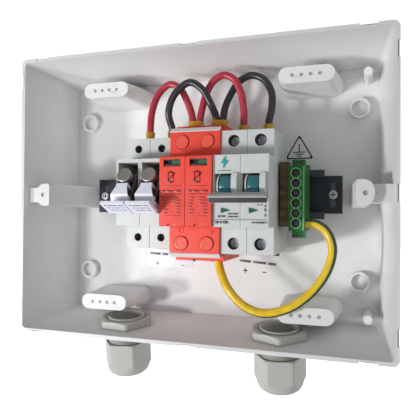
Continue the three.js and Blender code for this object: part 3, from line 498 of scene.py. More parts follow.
def wire(node, points, radius, material, sides=20):
    """Insulated wire along points in mm, with a map that runs round and along it."""
    path = smooth_path(points)
    bm = bmesh.new()
    tangents = []
    for i, point in enumerate(path):
        before, after = path[max(i - 1, 0)], path[min(i + 1, len(path) - 1)]
        tangents.append((after - before).normalized())
    across = Vector((0, 1, 0)).cross(tangents[0]).normalized()
    loops, lengths, length = [], [], 0.0
    for i, (point, tangent) in enumerate(zip(path, tangents)):
        if i:
            across = tangents[i - 1].rotation_difference(tangent) @ across
            length += (point - path[i - 1]).length
        other = tangent.cross(across)
        lengths.append(length * MM)
        loop = []
        for k in range(sides):
            angle = 2 * math.pi * k / sides
            loop.append((point + (across * math.cos(angle) + other * math.sin(angle)) * radius) * MM)
        loops.append(loop)
    rows = rings(bm, loops)
    place = {corner: (k, lengths[i]) for i, row in enumerate(rows) for k, corner in enumerate(row)}
    uv = bm.loops.layers.uv.new("along_wire")
    for face in bm.faces:
        ks = [place[loop.vert][0] for loop in face.loops]
        wraps = max(ks) - min(ks) > sides / 2
        for loop, k in zip(face.loops, ks):
            turn = (k + sides if wraps and k < sides / 2 else k) / sides
            loop[uv].uv = (turn, place[loop.vert][1])
    stand_in(node, bm, material, sharp=60)


WIRE_RADIUS = 2.58
EARTH_WIRE_RADIUS = 3.0
# Half the distance between two wires in one ferrule.
TWIN = 2.6
# Where a wire ends in its ferrule, above the top of the device.
WIRE_END = 1.9


def add_wires():
    fuse_1, fuse_2 = centre_of("fuse_holder_housing_1").x, centre_of("fuse_holder_housing_2").x
    surge_1, surge_2 = centre_of("surge_cartridge_1").x, centre_of("surge_cartridge_2").x
    pole_1, pole_2 = centre_of("breaker_pole_1").x, centre_of("breaker_pole_2").x
    fuse_top = span("fuse_holder_housing_1")[1].z
    surge_top = span("surge_base")[1].z
    breaker_top = span("breaker_pole_1")[1].z
    surge_foot = span("surge_base")[0].z
    wire("wire_fuse_1_to_surge_1", [
        (fuse_1, -38, fuse_top + WIRE_END), (fuse_1, -38, fuse_top + 9), (-38.2, -37.5, 62), (-33.5, -37, 75),
        (-24.5, -37, 82), (-16.6, -37, 79), (-10.8, -37, 69.5), (-7, -36.3, 59),
        (surge_1 - TWIN, -36, surge_top + 5), (surge_1 - TWIN, -36, surge_top + WIRE_END),
    ], WIRE_RADIUS, RED_WIRE)
    wire("wire_fuse_2_to_surge_2", [
        (fuse_2, -38, fuse_top + WIRE_END), (fuse_2, -38.2, fuse_top + 9), (-22.7, -42.5, 59),
        (-17.6, -44.5, 72), (-5.6, -45, 80.1), (3.8, -44.5, 74.5), (9.6, -42.5, 64), (11.5, -37, 56.5),
        (surge_2 - TWIN, -36, surge_top + 4.6), (surge_2 - TWIN, -36, surge_top + WIRE_END),
    ], WIRE_RADIUS, BLACK_WIRE)
    wire("wire_surge_1_to_breaker_1", [
        (surge_1 + TWIN, -36, surge_top + WIRE_END), (surge_1 + TWIN, -36, surge_top + 5), (1.6, -36.8, 64.5),
        (5.6, -37.6, 75.5), (11, -38, 82.6), (17.9, -38, 85.4), (25.3, -38, 81.5), (30, -37.6, 72.4),
        (31.9, -36.6, 61), (pole_1, -36, breaker_top + 9), (pole_1, -36, breaker_top + WIRE_END),
    ], WIRE_RADIUS, RED_WIRE)
    wire("wire_surge_2_to_breaker_2", [
        (surge_2 + TWIN, -36, surge_top + WIRE_END), (surge_2 + TWIN, -36, surge_top + 6),
        (17.6, -33.6, 63.5), (21, -31.2, 73), (27.4, -31, 82), (36.1, -31, 85.6), (44.6, -31.2, 82.2),
        (50.6, -32.4, 73), (51.6, -34.8, 61),
        (pole_2, -36, breaker_top + 9), (pole_2, -36, breaker_top + WIRE_END),
    ], WIRE_RADIUS, BLACK_WIRE)
    wire("wire_earth", [
        (surge_2, -36, surge_foot + 9), (surge_2, -36, surge_foot - 1), (17.8, -40, -56), (24, -44, -65.5),
        (35.1, -46, -75.5), (49, -46.5, -79.6), (66.6, -46.5, -74.8), (82, -46, -62.4),
        (91.4, -45.5, -47.3), (93.6, -44.5, -34.2), (89.6, -43.4, -24.2), (84, -43, -20), (79, -43, -19),
        (73.6, -43, -19),
    ], EARTH_WIRE_RADIUS, EARTH_WIRE, sides=24)


# -------- glands
# How far the hexagons are turned, in degrees, and their sizes across the flats.
GLAND_TURN = {"left": 9, "right": 10}
LOCK_TURN = {"left": 55, "right": 40}
DOME_FLATS, BODY_FLATS, LOCK_FLATS = 31.2, 33.2, 36
HEX_SOFTNESS = 0.18
THREAD_PITCH = 1.5
# Heights between which the gland body has its flange, and where its tube ends.
FLANGE_TOP, FLANGE_FOOT, TUBE_END = -2.6, -8.3, -22.6


def hexed(across_flats, turn):
    """A radius rule that trims a turned solid to a hexagon with slightly rounded corners."""
    def rule(angle, r):
        away = (angle - math.radians(turn + 30) + math.pi / 6) % (math.pi / 3) - math.pi / 6
        flat = across_flats / 2 / math.cos(away)
        return -HEX_SOFTNESS * math.log(math.exp(-r / HEX_SOFTNESS) + math.exp(-flat / HEX_SOFTNESS))
    return rule


def gland_frame(label):
    joint = JOINTS[f"gland_dome_nut_{label}_turn"]
    outward = Vector(joint["axis"])
    tilt = math.atan2(outward.y, -outward.z)
    return Matrix.Translation(Vector(joint["pos_m"])) @ Matrix.Rotation(tilt, 4, "X")


def add_nut(node, place, profile, flats, turn):
    """A turned part of a gland, trimmed to a hexagon."""
    bm = bmesh.new()
    turned(bm, profile, place, 96, hexed(flats, turn), close=True)
    stand_in(node, bm, GLAND_GREY, sharp=50)


def add_gland(label):
    place = gland_frame(label)
    # Dome nut: hexagon below, rounded crown, and its bore.
    outer = [(16.6, -12.3), (17.4, -12.6), (18.2, -13.4), (18.4, -14.5), (18.4, -26.5), (18, -28)]
    outer += [(17, -29.3), (16.2, -30), (16.2, -31.2), (15.6, -33), (14.4, -35), (12.8, -36.3)]
    outer += [(11.2, -36.9), (10.4, -37), (9.6, -37), (8.9, -36.6)]
    inner = [(8.8, -35.4), (11, -33), (14.4, -30.4), (14.4, -12.6), (15, -12.3)]
    add_nut(f"gland_dome_nut_{label}", place, outer + inner, DOME_FLATS, GLAND_TURN[label])
    # Body: hexagonal flange outside the wall, and one threaded tube right through.
    shell = [(11, 4.4), (12.2, 6.6), (12.6, 6.8), (13.2, 6.7)]
    z = 6.2
    while z > TUBE_END:
        if FLANGE_FOOT < z < FLANGE_TOP:
            z -= 0.1
            continue
        for radius, share in ((13.2, 0), (13.95, 0.35), (13.95, 0.5), (13.2, 0.85)):
            shell.append((radius, z - share * THREAD_PITCH))
        z -= THREAD_PITCH
    neck = [point for point in shell if point[1] > FLANGE_TOP]
    tail = [point for point in shell if point[1] <= FLANGE_FOOT]
    flange = [(13.9, -3.0), (17.6, -3.0), (18.7, -3.6), (18.7, -7.2), (17.8, -7.9), (13.9, -7.9)]
    profile = neck + flange + tail + [(13.2, -23), (11, -23)]
    add_nut(f"gland_body_{label}", place, profile, BODY_FLATS, GLAND_TURN[label])
    # Locknut with a chamfered top and a round washer face below.
    lock = [(14.4, 0.35), (20.5, 0.35), (20.7, 0.6), (20.7, 4.4)]
    lock += [(19.6, 5.2), (18.2, 5.7), (15.4, 5.7), (14.4, 5.1)]
    add_nut(f"gland_locknut_{label}", place, lock, LOCK_FLATS, LOCK_TURN[label])
    # Seal: a thick ring with sealing lips.
    bm = bmesh.new()
    lips = [(7.7, -34.7), (8.5, -34.8), (13.2, -30.2), (13.3, -23.5), (7.9, -23.5)]
    for i in range(5):
        lips += [(7.7, -24.5 - 2 * i), (8.3, -25.5 - 2 * i)]
    turned(bm, lips, place, 64, close=True)
    stand_in(f"gland_seal_{label}", bm, RUBBER, sharp=40)


# -------- prints
PRINT_PROUD = 0.06


def bars(name, body, material, rows, matrix):
    """Plain dashes in place of small print: rows of [x, width, z, height] on the plane y = 0, in mm."""
    corners = []
    for x, width, z, height in rows:
        low = (x - width / 2, -PRINT_PROUD, z - height / 2)
        high = (x + width / 2, PRINT_PROUD, z + height / 2)
        corners.append((low, high))
    blocks(name, material, body, corners, 0.03, matrix)


def dashes(x, width, z, height, words):
    """One row of print as dashes, one for each word length."""
    total = sum(words) + len(words) - 1
    rows, start = [], x - width / 2
    for word in words:
        length = width * word / total
        rows.append((start + length / 2, length, z, height))
        start += length + width / total
    return rows


def lines(name, body, material, strokes, width, front):
    """Printed strokes between points [x, z] in mm on the plane y = front."""
    bm = bmesh.new()
    for (x0, z0), (x1, z1) in strokes:
        length = math.hypot(x1 - x0, z1 - z0)
        place = at((x0 + x1) / 2, front, (z0 + z1) / 2)
        place = place @ Matrix.Rotation(-math.atan2(z1 - z0, x1 - x0), 4, "Y")
        half = length / 2 + width * 0.3
        slab(bm, (-half, -PRINT_PROUD, -width / 2), (half, PRINT_PROUD, width / 2), 0.03, place)
    finish_piece(name, bm, material, body)


PLUS = [(-1.5, 0, 1.5, 0), (0, -1.5, 0, 1.5)]
MINUS = [(-1.1, 0, 1.1, 0)]
EARTH = [(-1.5, 0, 1.5, 0), (-1, -0.8, 1, -0.8), (-0.4, -1.6, 0.4, -1.6), (0, 0, 0, 1.4)]
VARISTOR = [
    (-1.7, -3, 1.7, -3), (-1.7, 3, 1.7, 3), (-1.7, -3, -1.7, 3), (1.7, -3, 1.7, 3),
    (0, -4, 0, -3), (0, 3, 0, 4), (-2.8, -2.6, 2.8, 2.6),
]


def sign_at(sign, x, z):
    """The strokes of a sign about the point [x, z]."""
    return [((x + x0, z + z0), (x + x1, z + z1)) for x0, z0, x1, z1 in sign]


def flat_shape(bm, outline, y_front, y_back):
    """An outline of [x, z] in mm given a thickness along Y."""
    loops = [[Vector((x, y, z)) * MM for x, z in outline] for y in (y_back, y_front)]
    rings(bm, loops)


def rounded_polygon(corners, radius, steps=5):
    """The corners in order, each replaced by an arc."""
    outline = []
    count = len(corners)
    for i, corner in enumerate(corners):
        here = Vector(corner)
        into = (Vector(corners[i - 1]) - here).normalized()
        out = (Vector(corners[(i + 1) % count]) - here).normalized()
        half = into.angle(out) / 2
        middle = here + (into + out).normalized() * radius / math.sin(half)
        start = here + into * radius / math.tan(half) - middle
        end = here + out * radius / math.tan(half) - middle
        for step in range(steps + 1):
            arm = start.slerp(end, step / steps)
            outline.append(tuple(middle + arm))
    return outline


# The inner face of the back, and the front of a label on it.
BACK_Y = -2.5
LABEL_Y = BACK_Y - 0.12
# Wall labels: two corners, the places of the plus and minus, dashes for words, and the two materials.
WALL_LABELS = {
    "panel_label": (
        (-56, -56.3), (-18, -41.5), (-48.3, -53.8), (-26.1, -54.7),
        [((-54.2, -45.8), (-46.2, -46)), ((-43.6, -46.1), (-39.4, -46.2))],
        PRINT_PINK, STICKER,
    ),
    "controller_label": (
        (18, -60), (52, -45), (25.4, -56.6), (40.4, -57.4),
        [((21.4, -49), (29.2, -49.6)), ((31.9, -49.8), (41.2, -50.5)), ((43.8, -50.7), (48.8, -51.1))],
        PRINT_BLACK, CLEAR_FILM,
    ),
}


def add_wall_labels():
    """Labels with polarity marks, and dashes in place of words, on the inner back face."""
    for name, ((x0, z0), (x1, z1), plus, minus, words, mark_ink, film) in WALL_LABELS.items():
        bm = bmesh.new()
        outline = rounded_polygon([(x0, z0), (x1, z0), (x1, z1), (x0, z1)], 0.8)
        flat_shape(bm, outline, LABEL_Y, BACK_Y + 0.05)
        finish_piece(name, bm, film, BOX)
        strokes = sign_at(PLUS, *plus) + sign_at(MINUS, *minus)
        lines(name + "_marks", BOX, mark_ink, strokes, 0.8, LABEL_Y)
        lines(name + "_words", BOX, PRINT_GREY, words, 1.9, LABEL_Y)


def add_earth_sign():
    """The general earth sign in a triangle, on the inner back face."""
    corners = [(66.3, 46.4), (55.6, 28.2), (76.8, 28.2)]
    centre = Vector((66.2, 34.2))
    inner = [tuple(centre + (Vector(corner) - centre) * 0.8) for corner in corners]
    bm = bmesh.new()
    outer_loop, inner_loop = rounded_polygon(corners, 1.0), rounded_polygon(inner, 0.7)
    loops = []
    edge = ((outer_loop, BACK_Y), (outer_loop, LABEL_Y), (inner_loop, LABEL_Y), (inner_loop, BACK_Y))
    for outline, y in edge:
        loops.append([Vector((x, y, z)) * MM for x, z in outline])
    rings(bm, loops, close=True)
    slab(bm, (65.8, LABEL_Y, 33.3), (66.6, BACK_Y, 39.5), 0.03)
    for half, z in ((4.6, 33.3), (3.1, 31.7), (1.7, 30.2)):
        slab(bm, (centre.x - half, LABEL_Y, z - 0.36), (centre.x + half, BACK_Y, z + 0.36), 0.03)
    finish_piece("earth_sign", bm, PRINT_BLACK, BOX)


# -------- terminal wells, with painted shade inside
# Radius of the bore, and its depth from the shoulder to the clamp screw.
FUSE_WELL = (2.8, 6.5)
BREAKER_WELL = (4, 4.5)


def shade_well(screw, bore, depth):
    """Painted shade: a dark grey ring inside a terminal's well, from its clamp screw to just under the
    shoulder.
    """
    middle, head = centre_of(screw), span(screw)[0].y
    shade_ring = [(bore - 0.1, depth - 0.2), (bore + 0.4, depth - 0.2), (bore + 0.4, -1.5), (bore - 0.1, -1.5)]
    place = facing(middle.x, head, middle.z)
    collars(screw.replace("clamp_screw", "well"), WELL_SHADE, shade_ring, [place])


# -------- fuse holders
LINK_LENGTH = 38


def carrier_frame(number):
    """The carrier's own frame at rest: it stands open by the whole range of its hinge."""
    joint = JOINTS[f"fuse_carrier_{number}_hinge"]
    open_by = Matrix.Rotation(math.radians(joint["range_deg"][1]), 4, "X")
    return Matrix.Translation(Vector(joint["pos_m"])) @ open_by


def add_fuse_holder(number):
    body = f"fuse_carrier_{number}"
    place = carrier_frame(number)
    carrier = refine(f"fuse_carrier_{number}", CARRIER_WHITE, 0.35)
    # The arms that grip the link are bare clips.
    carrier.data.materials.append(CLIP_METAL)
    into_carrier = (place @ Matrix.Diagonal((MM, MM, MM, 1))).inverted()
    for polygon in carrier.data.polygons:
        spot = into_carrier @ polygon.center
        if 5.3 < abs(spot.x) < 6.85 and spot.y > -3.9 and 1.9 < spot.z < 18.1:
            polygon.material_index = 1
    refine(f"fuse_holder_housing_{number}", DEVICE_GREY, 0.3)
    refine(f"fuse_rail_latch_{number}", DEVICE_GREY, 0.25)
    refine(f"fuse_hinge_pin_{number}", STEEL, 0.2)
    for end in ("lower", "upper"):
        screw = f"fuse_clamp_screw_{end}_{number}"
        refine(screw, STEEL, 0.12)
        shade_well(screw, *FUSE_WELL)
    # Fuse link: two pressed caps on a ceramic tube.
    axis = place @ at(0, 13.5, 23.2 - LINK_LENGTH)
    bm = bmesh.new()
    turned(bm, [(4.75, 8), (4.75, 30)], axis, 48)
    tube = finish_piece(f"fuse_link_{number}_tube", bm, CERAMIC, body)
    bm = bmesh.new()
    cap = [(4.2, 0), (4.7, 0.08), (5.0, 0.3), (5.15, 0.7), (5.15, 9.2), (5.05, 9.5), (5.15, 9.8)]
    cap += [(5.0, 10), (4.76, 10)]
    turned(bm, cap, axis, 48)
    turned(bm, [(r, LINK_LENGTH - z) for r, z in cap][::-1], axis, 48)
    caps = finish_piece(f"fuse_link_{number}_caps", bm, CAP_METAL, body, sharp=50)
    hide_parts(f"fuse_link_{number}")
    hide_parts(f"fuse_link_{number}")
    # Print on the label plate, in the carrier's own frame.
    plate = place @ at(0, -11.2, 0)
    rows = dashes(0, 13.5, 26.6, 1.1, (3, 9, 5)) + dashes(0.6, 12.5, 23.2, 0.8, (4, 3, 6, 4))
    rows += dashes(1.2, 11.5, 19.9, 0.8, (8, 2, 5))
    bars(f"fuse_carrier_{number}_print", body, PRINT_GREY, rows, plate)
    # Spring contacts that grip the link's caps when the carrier is shut.
    pivot = Vector(JOINTS[f"fuse_carrier_{number}_hinge"]["pos_m"]) / MM
    x = pivot.x
    springs = []
    for inner, outer in ((-5.8, -5.35), (5.35, 5.8)):
        springs.append(((x + inner, -54.5, 9.6), (x + outer, -43.2, 13.4)))
        springs.append(((x + inner, -54.5, -25.2), (x + outer, -45.5, -18.5)))
    springs.append(((x - 5.8, -43.6, 9.6), (x + 5.8, -43.1, 20.2)))
    springs.append(((x - 5.8, -54.5, -25.6), (x + 5.8, -39.2, -25.1)))
    blocks(f"fuse_contacts_{number}", TINNED, BOX, springs, 0.12)


# -------- surge protector
# Rows of print: height, thickness, and the parts [x0, x1] from the cartridge's left side.
SURGE_PRINT = [
    (4.4, 0.3, [(2.1, 15.4)]),
    (1.15, 1.5, [(1.8, 4.4), (4.9, 8.9), (9.4, 10.2), (10.8, 15.1)]),
    (-0.9, 0.6, [(2.1, 6.4), (6.9, 11.6), (12, 15)]),
    (-3.0, 0.75, [(2.1, 6.9), (8.6, 13.3)]),
    (-4.8, 0.75, [(2.1, 5.6), (8.4, 15)]),
    (-6.7, 0.75, [(2.1, 5.4), (8.8, 15)]),
    (-8.6, 0.75, [(2.1, 5), (11, 15)]),
    (-10.6, 0.75, [(2.1, 6.6), (11, 14.8)]),
    (-12.6, 0.75, [(2.3, 5.7), (8.6, 9.2), (10.9, 15)]),
    (-14.6, 0.25, [(2.9, 14.8)]),
]


RAIL_Z = 1.0
# The front of the surge protector's base.
SURGE_FRONT = -63.3


def add_surge_protector():
    refine("surge_base", SURGE_RED, 0.35)
    refine("surge_rail_latch", SURGE_RED, 0.25)
    low, high = span("surge_base")
    nose = span("surge_cartridge_1")[0].y
    # Light strips clipped over the sloping upper and lower edges.
    for label, side in (("upper", 1), ("lower", -1)):
        bm = bmesh.new()
        outline = [(-63.35, 40.7), (-63.55, 41.2), (-61.2, 43.6), (-60.2, 43.6), (-60.2, 42.6), (-62.6, 40.6)]
        loops = []
        for x in (low.x + 0.1, high.x - 0.1):
            loops.append([Vector((x, y, RAIL_Z + side * z)) * MM for y, z in outline])
        rings(bm, loops)
        finish_piece(f"surge_{label}_strip", bm, STRIP_GREY, BOX, sharp=25)
    lines("surge_earth_mark", BOX, PRINT_RED, sign_at(EARTH, 17.6, -24.6), 0.35, SURGE_FRONT)
    ring = [(1.25, -0.1), (1.25, 0.15), (1.6, 0.3), (1.95, 0.15), (1.95, -0.1)]
    collars("surge_notch_ring", SURGE_RED, ring, [facing(-4.0, SURGE_FRONT, -24.3)], 40)
    # Painted shade: a dark disc standing for a hole low in the base.
    bm = bmesh.new()
    turned(bm, [(1.05, -0.3), (1.05, 0.04), (0.2, 0.04)], facing(1.4, -52.0, -45.2), 24)
    finish_piece("surge_base_hole_shade", bm, DARK_AND_SHADE, BOX)
    for number in (1, 2):
        cartridge = f"surge_cartridge_{number}"
        refine(cartridge, SURGE_RED, 0.4)
        refine(f"surge_status_flag_{number}", FLAG_GREEN, 0.15)
        start, end = span(cartridge)
        # Dark ground behind the window and the window's frame.
        blocks(f"surge_window_ground_{number}", BLACK, cartridge, [
            ((start.x + 2.3, nose + 2.55, 16.6), (end.x - 2.2, nose + 2.75, 21.6)),
        ], 0.05)
        blocks(f"surge_window_mask_{number}", DARK_AND_SHADE, cartridge, [
            ((start.x + 3.0, nose + 0.75, 16.9), (end.x - 3.2, nose + 1.05, 18.3)),
            ((start.x + 3.0, nose + 0.75, 20.9), (end.x - 3.2, nose + 1.05, 21.4)),
        ], 0.05)
        # Small print as plain dashes, under the general sign of a varistor.
        left, rows = start.x, []
        for z, height, parts in SURGE_PRINT:
            rows += [(left + (x0 + x1) / 2, x1 - x0, z, height) for x0, x1 in parts]
        bars(f"surge_print_{number}", cartridge, PRINT_RED, rows, at(0, nose, 0))
        lines(f"surge_sign_{number}", cartridge, PRINT_RED, sign_at(VARISTOR, left + 8.1, 10), 1.0, nose)
        for end_name, side in (("lower", -1), ("upper", 1)):
            node = f"surge_terminal_cap_{end_name}_{number}"
            middle = centre_of(node)
            face = span(node)[0].y
            bm = bmesh.new()
            cap = [(4.55, -1.4), (4.55, -0.35), (4.4, -0.08), (4.1, 0), (3.75, 0), (3.6, -0.2), (0.3, -0.2)]
            turned(bm, cap, facing(middle.x, face, middle.z), 64)
            stand_in(node, bm, SURGE_CAP, sharp=20)


# -------- breaker
def add_breaker():
    joint = JOINTS["breaker_toggle_hinge"]
    pivot = Vector(joint["pos_m"]) / MM
    # At rest the levers hang by half their range below the middle.
    rest = math.radians(joint["range_deg"][1] / 2)
    arm = Matrix.Translation(pivot * MM) @ Matrix.Rotation(rest, 4, "X")
    for number in (1, 2):
        refine(f"breaker_pole_{number}", DEVICE_GREY, 0.3)
        for end in ("lower", "upper"):
            screw = f"breaker_clamp_screw_{end}_{number}"
            refine(screw, STEEL, 0.15)
            shade_well(screw, *BREAKER_WELL)
        # Toggle: a ribbed barrel with a short lever.
        low, high = span(f"breaker_toggle_{number}")
        bm = bmesh.new()
        place = facing(low.x, pivot.y, pivot.z, "right")
        width = high.x - low.x
        barrel = [(6.1, 0), (6.6, 0.25), (6.8, 0.7), (6.8, width - 0.7), (6.6, width - 0.25), (6.1, width)]
        turned(bm, barrel, place, 72)
        across = (low.x + high.x) / 2 - pivot.x
        slab(bm, (across - 3.1, -12.5, -2.1), (across + 3.1, -5, 2.1), 0.5, arm)
        for step in (-1, 0, 1):
            slab(bm, (across - 3.0, -10.6, 2.0 + 0.02 * step), (across + 3.0, -9.9 - step, 2.35), 0.12, arm)
        stand_in(f"breaker_toggle_{number}", bm, TEAL, sharp=40)
    # Tie bar, and painted shade as dark strips in the groove along its front.
    refine("breaker_tie_bar", TIE_GREY, 0.35)
    start, end = span("breaker_tie_bar")
    bm = bmesh.new()
    slab(bm, (start.x - pivot.x + 0.3, -16.6, -2), (end.x - pivot.x - 0.3, -15.85, 0.85), 0.1, arm)
    slab(bm, (start.x - pivot.x + 0.2, -17.35, -1.95), (end.x - pivot.x - 0.2, -16.9, 0.7), 0.15, arm)
    finish_piece("breaker_tie_bar_groove_shade", bm, DARK_AND_SHADE, "breaker_toggle")
    refine("breaker_rail_latch", BLACK, 0.25)
    # Pointers on the front.
    front = span("breaker_pole_1")[0].y + 3.6
    one, two = centre_of("breaker_pole_1").x, centre_of("breaker_pole_2").x
    bm = bmesh.new()
    for x in (one, two):
        outline = [(x - 3.3, -12.8), (x + 2.5, -11.1), (x - 3.3, -9.5)]
        flat_shape(bm, outline, front - PRINT_PROUD, front + PRINT_PROUD)
    finish_piece("breaker_pointers", bm, PRINT_GREEN, BOX)
    # Generic lightning sign and a line under it.
    x = one - 1.3
    bm = bmesh.new()
    bolt = [(x - 2.3, 18.3), (x + 0.7, 22.9), (x + 0.5, 19.8), (x + 2.5, 19.8)]
    bolt += [(x - 0.9, 14.7), (x - 0.4, 18.3)]
    flat_shape(bm, bolt, front - PRINT_PROUD, front + PRINT_PROUD)
    slab(bm, (x - 4.4, front - PRINT_PROUD, 13.3), (x + 4.4, front + PRINT_PROUD, 13.7), 0.03)
    finish_piece("breaker_sign", bm, PRINT_TEAL, BOX)
    rows = [(one + 9, 33.6, -16.8, 0.2), (one + 20.1, 0.8, -7.7, 0.8), (one + 22.3, 0.8, -7.7, 0.8)]
    rows += dashes(one + 4.3, 6.2, -13.2, 0.8, (4, 5)) + dashes(one + 4.3, 6.2, -15.0, 0.8, (6, 4))
    rows += dashes(one - 3, 4.5, -14.8, 1.2, (2, 2)) + dashes(one - 2.9, 7.8, -18.5, 1.5, (2, 1, 3))
    rows += dashes(two + 3.1, 9.1, -18.5, 0.9, (2, 9, 1))
    rows += [(two + 6.8, 0.7, z, length) for z, length in ((-8.4, 1.2), (-10.8, 2.2), (-13.9, 1.6))]
    bars("breaker_print", BOX, PRINT_GREY, rows, at(0, front, 0))


# -------- earth block
# The earth block's front, and its row of six screws.
EARTH_FRONT = -50.0
EARTH_X = 70.75
EARTH_LOWEST = -19.0
EARTH_PITCH = 6.55


def add_earth_block():
    refine("earth_block_housing", GREEN, 0.3)
    refine("earth_block_bar", BRASS, 0.25)
    refine("earth_block_foot", GREEN, 0.3)
    front = EARTH_FRONT
    heights = [EARTH_LOWEST + i * EARTH_PITCH for i in range(6)]
    mouths = [facing(EARTH_X, front, z) for z in heights]
    ring = [(2.75, -0.4), (2.75, 0.9), (2.9, 1.05), (3.4, 1.05), (3.55, 0.9), (3.7, -0.4)]
    collars("earth_block_collars", LIGHT_GREEN, ring, mouths)
    bm = bmesh.new()
    head = [(2.9, -0.1), (2.9, 0.15), (2.2, 0.3), (2, 0.55), (0.3, 0.6)]
    for i, z in enumerate(heights):
        place = facing(EARTH_X, front + 1.35, z)
        turned(bm, head, place, 32)
        turn = Matrix.Rotation(math.radians(35 + 47 * i), 4, "Z")
        slab(bm, (-1.9, -0.25, 0.5), (1.9, 0.25, 0.7), 0.05, place @ turn)
    finish_piece("earth_block_screws", bm, DARK_STEEL, BOX, sharp=40)
    # Painted shade: dark rings inside the mouths of the screws.
    shade_ring = [(2.7, 0.7), (2.95, 0.7), (2.95, -1.3), (2.7, -1.3)]
    collars("earth_block_well_shade", RUBBER, shade_ring, mouths)
    # Lighter ridge down the right side, and the marks on the two ears.
    ridge = ((75.0, front - 0.25, -23.6), (76.1, front + 1.2, 18.2))
    blocks("earth_block_ridge", LIGHT_GREEN, BOX, [ridge], 0.2)
    ear, marks = front + 1.5, []
    for z in (20.7, -27.0):
        for x in (69.4, 71.6, 73.8):
            marks.append(((x - 0.8, ear - 0.08, z - 0.5), (x + 0.8, ear + 0.05, z + 0.5)))
    blocks("earth_block_marks", PRINT_BLACK, BOX, marks, 0.04)


# -------- enclosure, rail and ferrules
# Half the width and height of the rim, and how far its pockets stand in; their middles along each side.
RIM_WIDE, RIM_TALL, RIM_FRONT = 133.5, 102, -63.9
SIDE_POCKETS = (-84.8, 0, 84.8)
LONG_POCKETS = (-116, 0, 116)
# The screw pillars' middles, the pitch of their four holes and their front; the lid posts.
PILLAR_X, PILLAR_Z, PILLAR_PITCH, PILLAR_FRONT = 75.7, 80.8, 6.13, -40.4
POST_X, POST_FRONT = 114, -64
# The slots at the ends of the rail.
SLOT_X, SLOT_HALF_WIDTH, SLOT_HALF_HEIGHT = 91.5, 2.6, 9.6


def add_latch_pocket_shade():
    """Painted shadow: grey blocks in the pockets that the lid's latches snap into, in the outside of the rim.
    """
    back = RIM_FRONT + 3.3
    pocket_shades = []
    for _, side in SIDES:
        for middle in SIDE_POCKETS:
            x0, x1 = sorted((side * (RIM_WIDE - 1.5), side * (RIM_WIDE - 1.0)))
            pocket_shades.append(((x0, RIM_FRONT, middle - 5), (x1, back, middle + 5)))
        for middle in LONG_POCKETS:
            z0, z1 = sorted((side * (RIM_TALL - 1.5), side * (RIM_TALL - 1.0)))
            pocket_shades.append(((middle - 5, RIM_FRONT, z0), (middle + 5, back, z1)))
    blocks("latch_pocket_shade", PAINTED_SHADE_GREY, BOX, pocket_shades)


def add_pillar_plugs():
    """Shallow plugs in the screw holes of the pillars and the lid posts."""
    bm = bmesh.new()
    for _, across in SIDES:
        for _, up in SIDES:
            for step in (-1.5, -0.5, 0.5, 1.5):
                place = facing(across * PILLAR_X + step * PILLAR_PITCH, PILLAR_FRONT, up * PILLAR_Z)
                turned(bm, [(1.25, -1.6), (1.25, -0.75), (0.7, -0.6), (0.2, -0.6)], place, 20)
    for _, across in SIDES:
        place = facing(across * POST_X, POST_FRONT, 0)
        turned(bm, [(1.45, -2), (1.45, -1.1), (0.8, -0.9), (0.2, -0.9)], place, 20)
    finish_piece("pillar_hole_plugs", bm, PLUG_GREY, BOX, sharp=40)


def add_enclosure():
    refine("enclosure_base", WHITE_SHELL, 0.45, segments=3)
    refine("din_rail", RAIL_BLACK, 0.15)
    add_latch_pocket_shade()
    add_pillar_plugs()
    # Painted shade: grey plates behind the slots at the ends of the rail.
    slot_shades = []
    for _, side in SIDES:
        low = (side * SLOT_X - SLOT_HALF_WIDTH, -10.1, RAIL_Z - SLOT_HALF_HEIGHT)
        high = (side * SLOT_X + SLOT_HALF_WIDTH, -9.75, RAIL_Z + SLOT_HALF_HEIGHT)
        slot_shades.append((low, high))
    blocks("rail_slot_shade", PAINTED_SHADE_GREY, BOX, slot_shades, 0.05)
    for label, _ in SIDES:
        add_rail_screw(label)


def add_rail_screw(label):
    """A screw with a bright rounded rim, and painted shade as a dark cross in its dished head."""
    node = f"rail_screw_{label}"
    low, high = span(node)
    middle = (low + high) / 2
    radius = (high.x - low.x) / 2 + 0.15
    length = high.y - low.y
    place = facing(middle.x, low.y, middle.z)
    profile = [(1.3, -length), (1.6, 0.3 - length), (1.6, -2.2), (radius, -2.2), (radius, -0.9)]
    profile += [(radius - 0.15, -0.35), (radius - 0.5, 0), (radius - 0.85, 0), (radius - 1.1, -0.3)]
    profile += [(radius - 1.2, -0.8), (0.5, -0.9)]
    bm = bmesh.new()
    turned(bm, profile, place, 48)
    stand_in(node, bm, SCREW_BRIGHT, sharp=50)
    # Painted shade: the dark cross stands for the shade in the head's recess.
    arm, half = radius - 1.15, 0.38
    cross = [((-x, -y, -0.88), (x, y, -0.6)) for x, y in ((arm, half), (half, arm))]
    blocks(f"{node}_cross", DARK_AND_SHADE, BOX, cross, 0.05, place)


def add_ferrules():
    """Turned ferrules for single wires, and the moulded twin ones."""
    for number in (1, 2):
        for device in ("fuse", "breaker"):
            node = f"ferrule_{device}_{number}"
            low, high = span(node)
            centre = (low + high) / 2
            bm = bmesh.new()
            top = high.z - low.z + 1.4
            profile = [(1.5, 0), (1.8, 0.3), (1.8, 10.1), (2.7, 10.3), (2.9, 10.9), (3.3, 15.2), (3.55, 16.4)]
            profile += [(3.55, top - 0.3), (3.35, top), (3.0, top), (2.75, top - 0.4), (2.75, top - 5.8)]
            turned(bm, profile, facing(centre.x, centre.y, low.z, "up"), 48)
            stand_in(node, bm, FERRULE, sharp=50)
        refine(f"ferrule_surge_{number}", FERRULE, 0.25)


# -------- light and floor
FLOOR_Z = -0.42
AMBIENT = 0.05
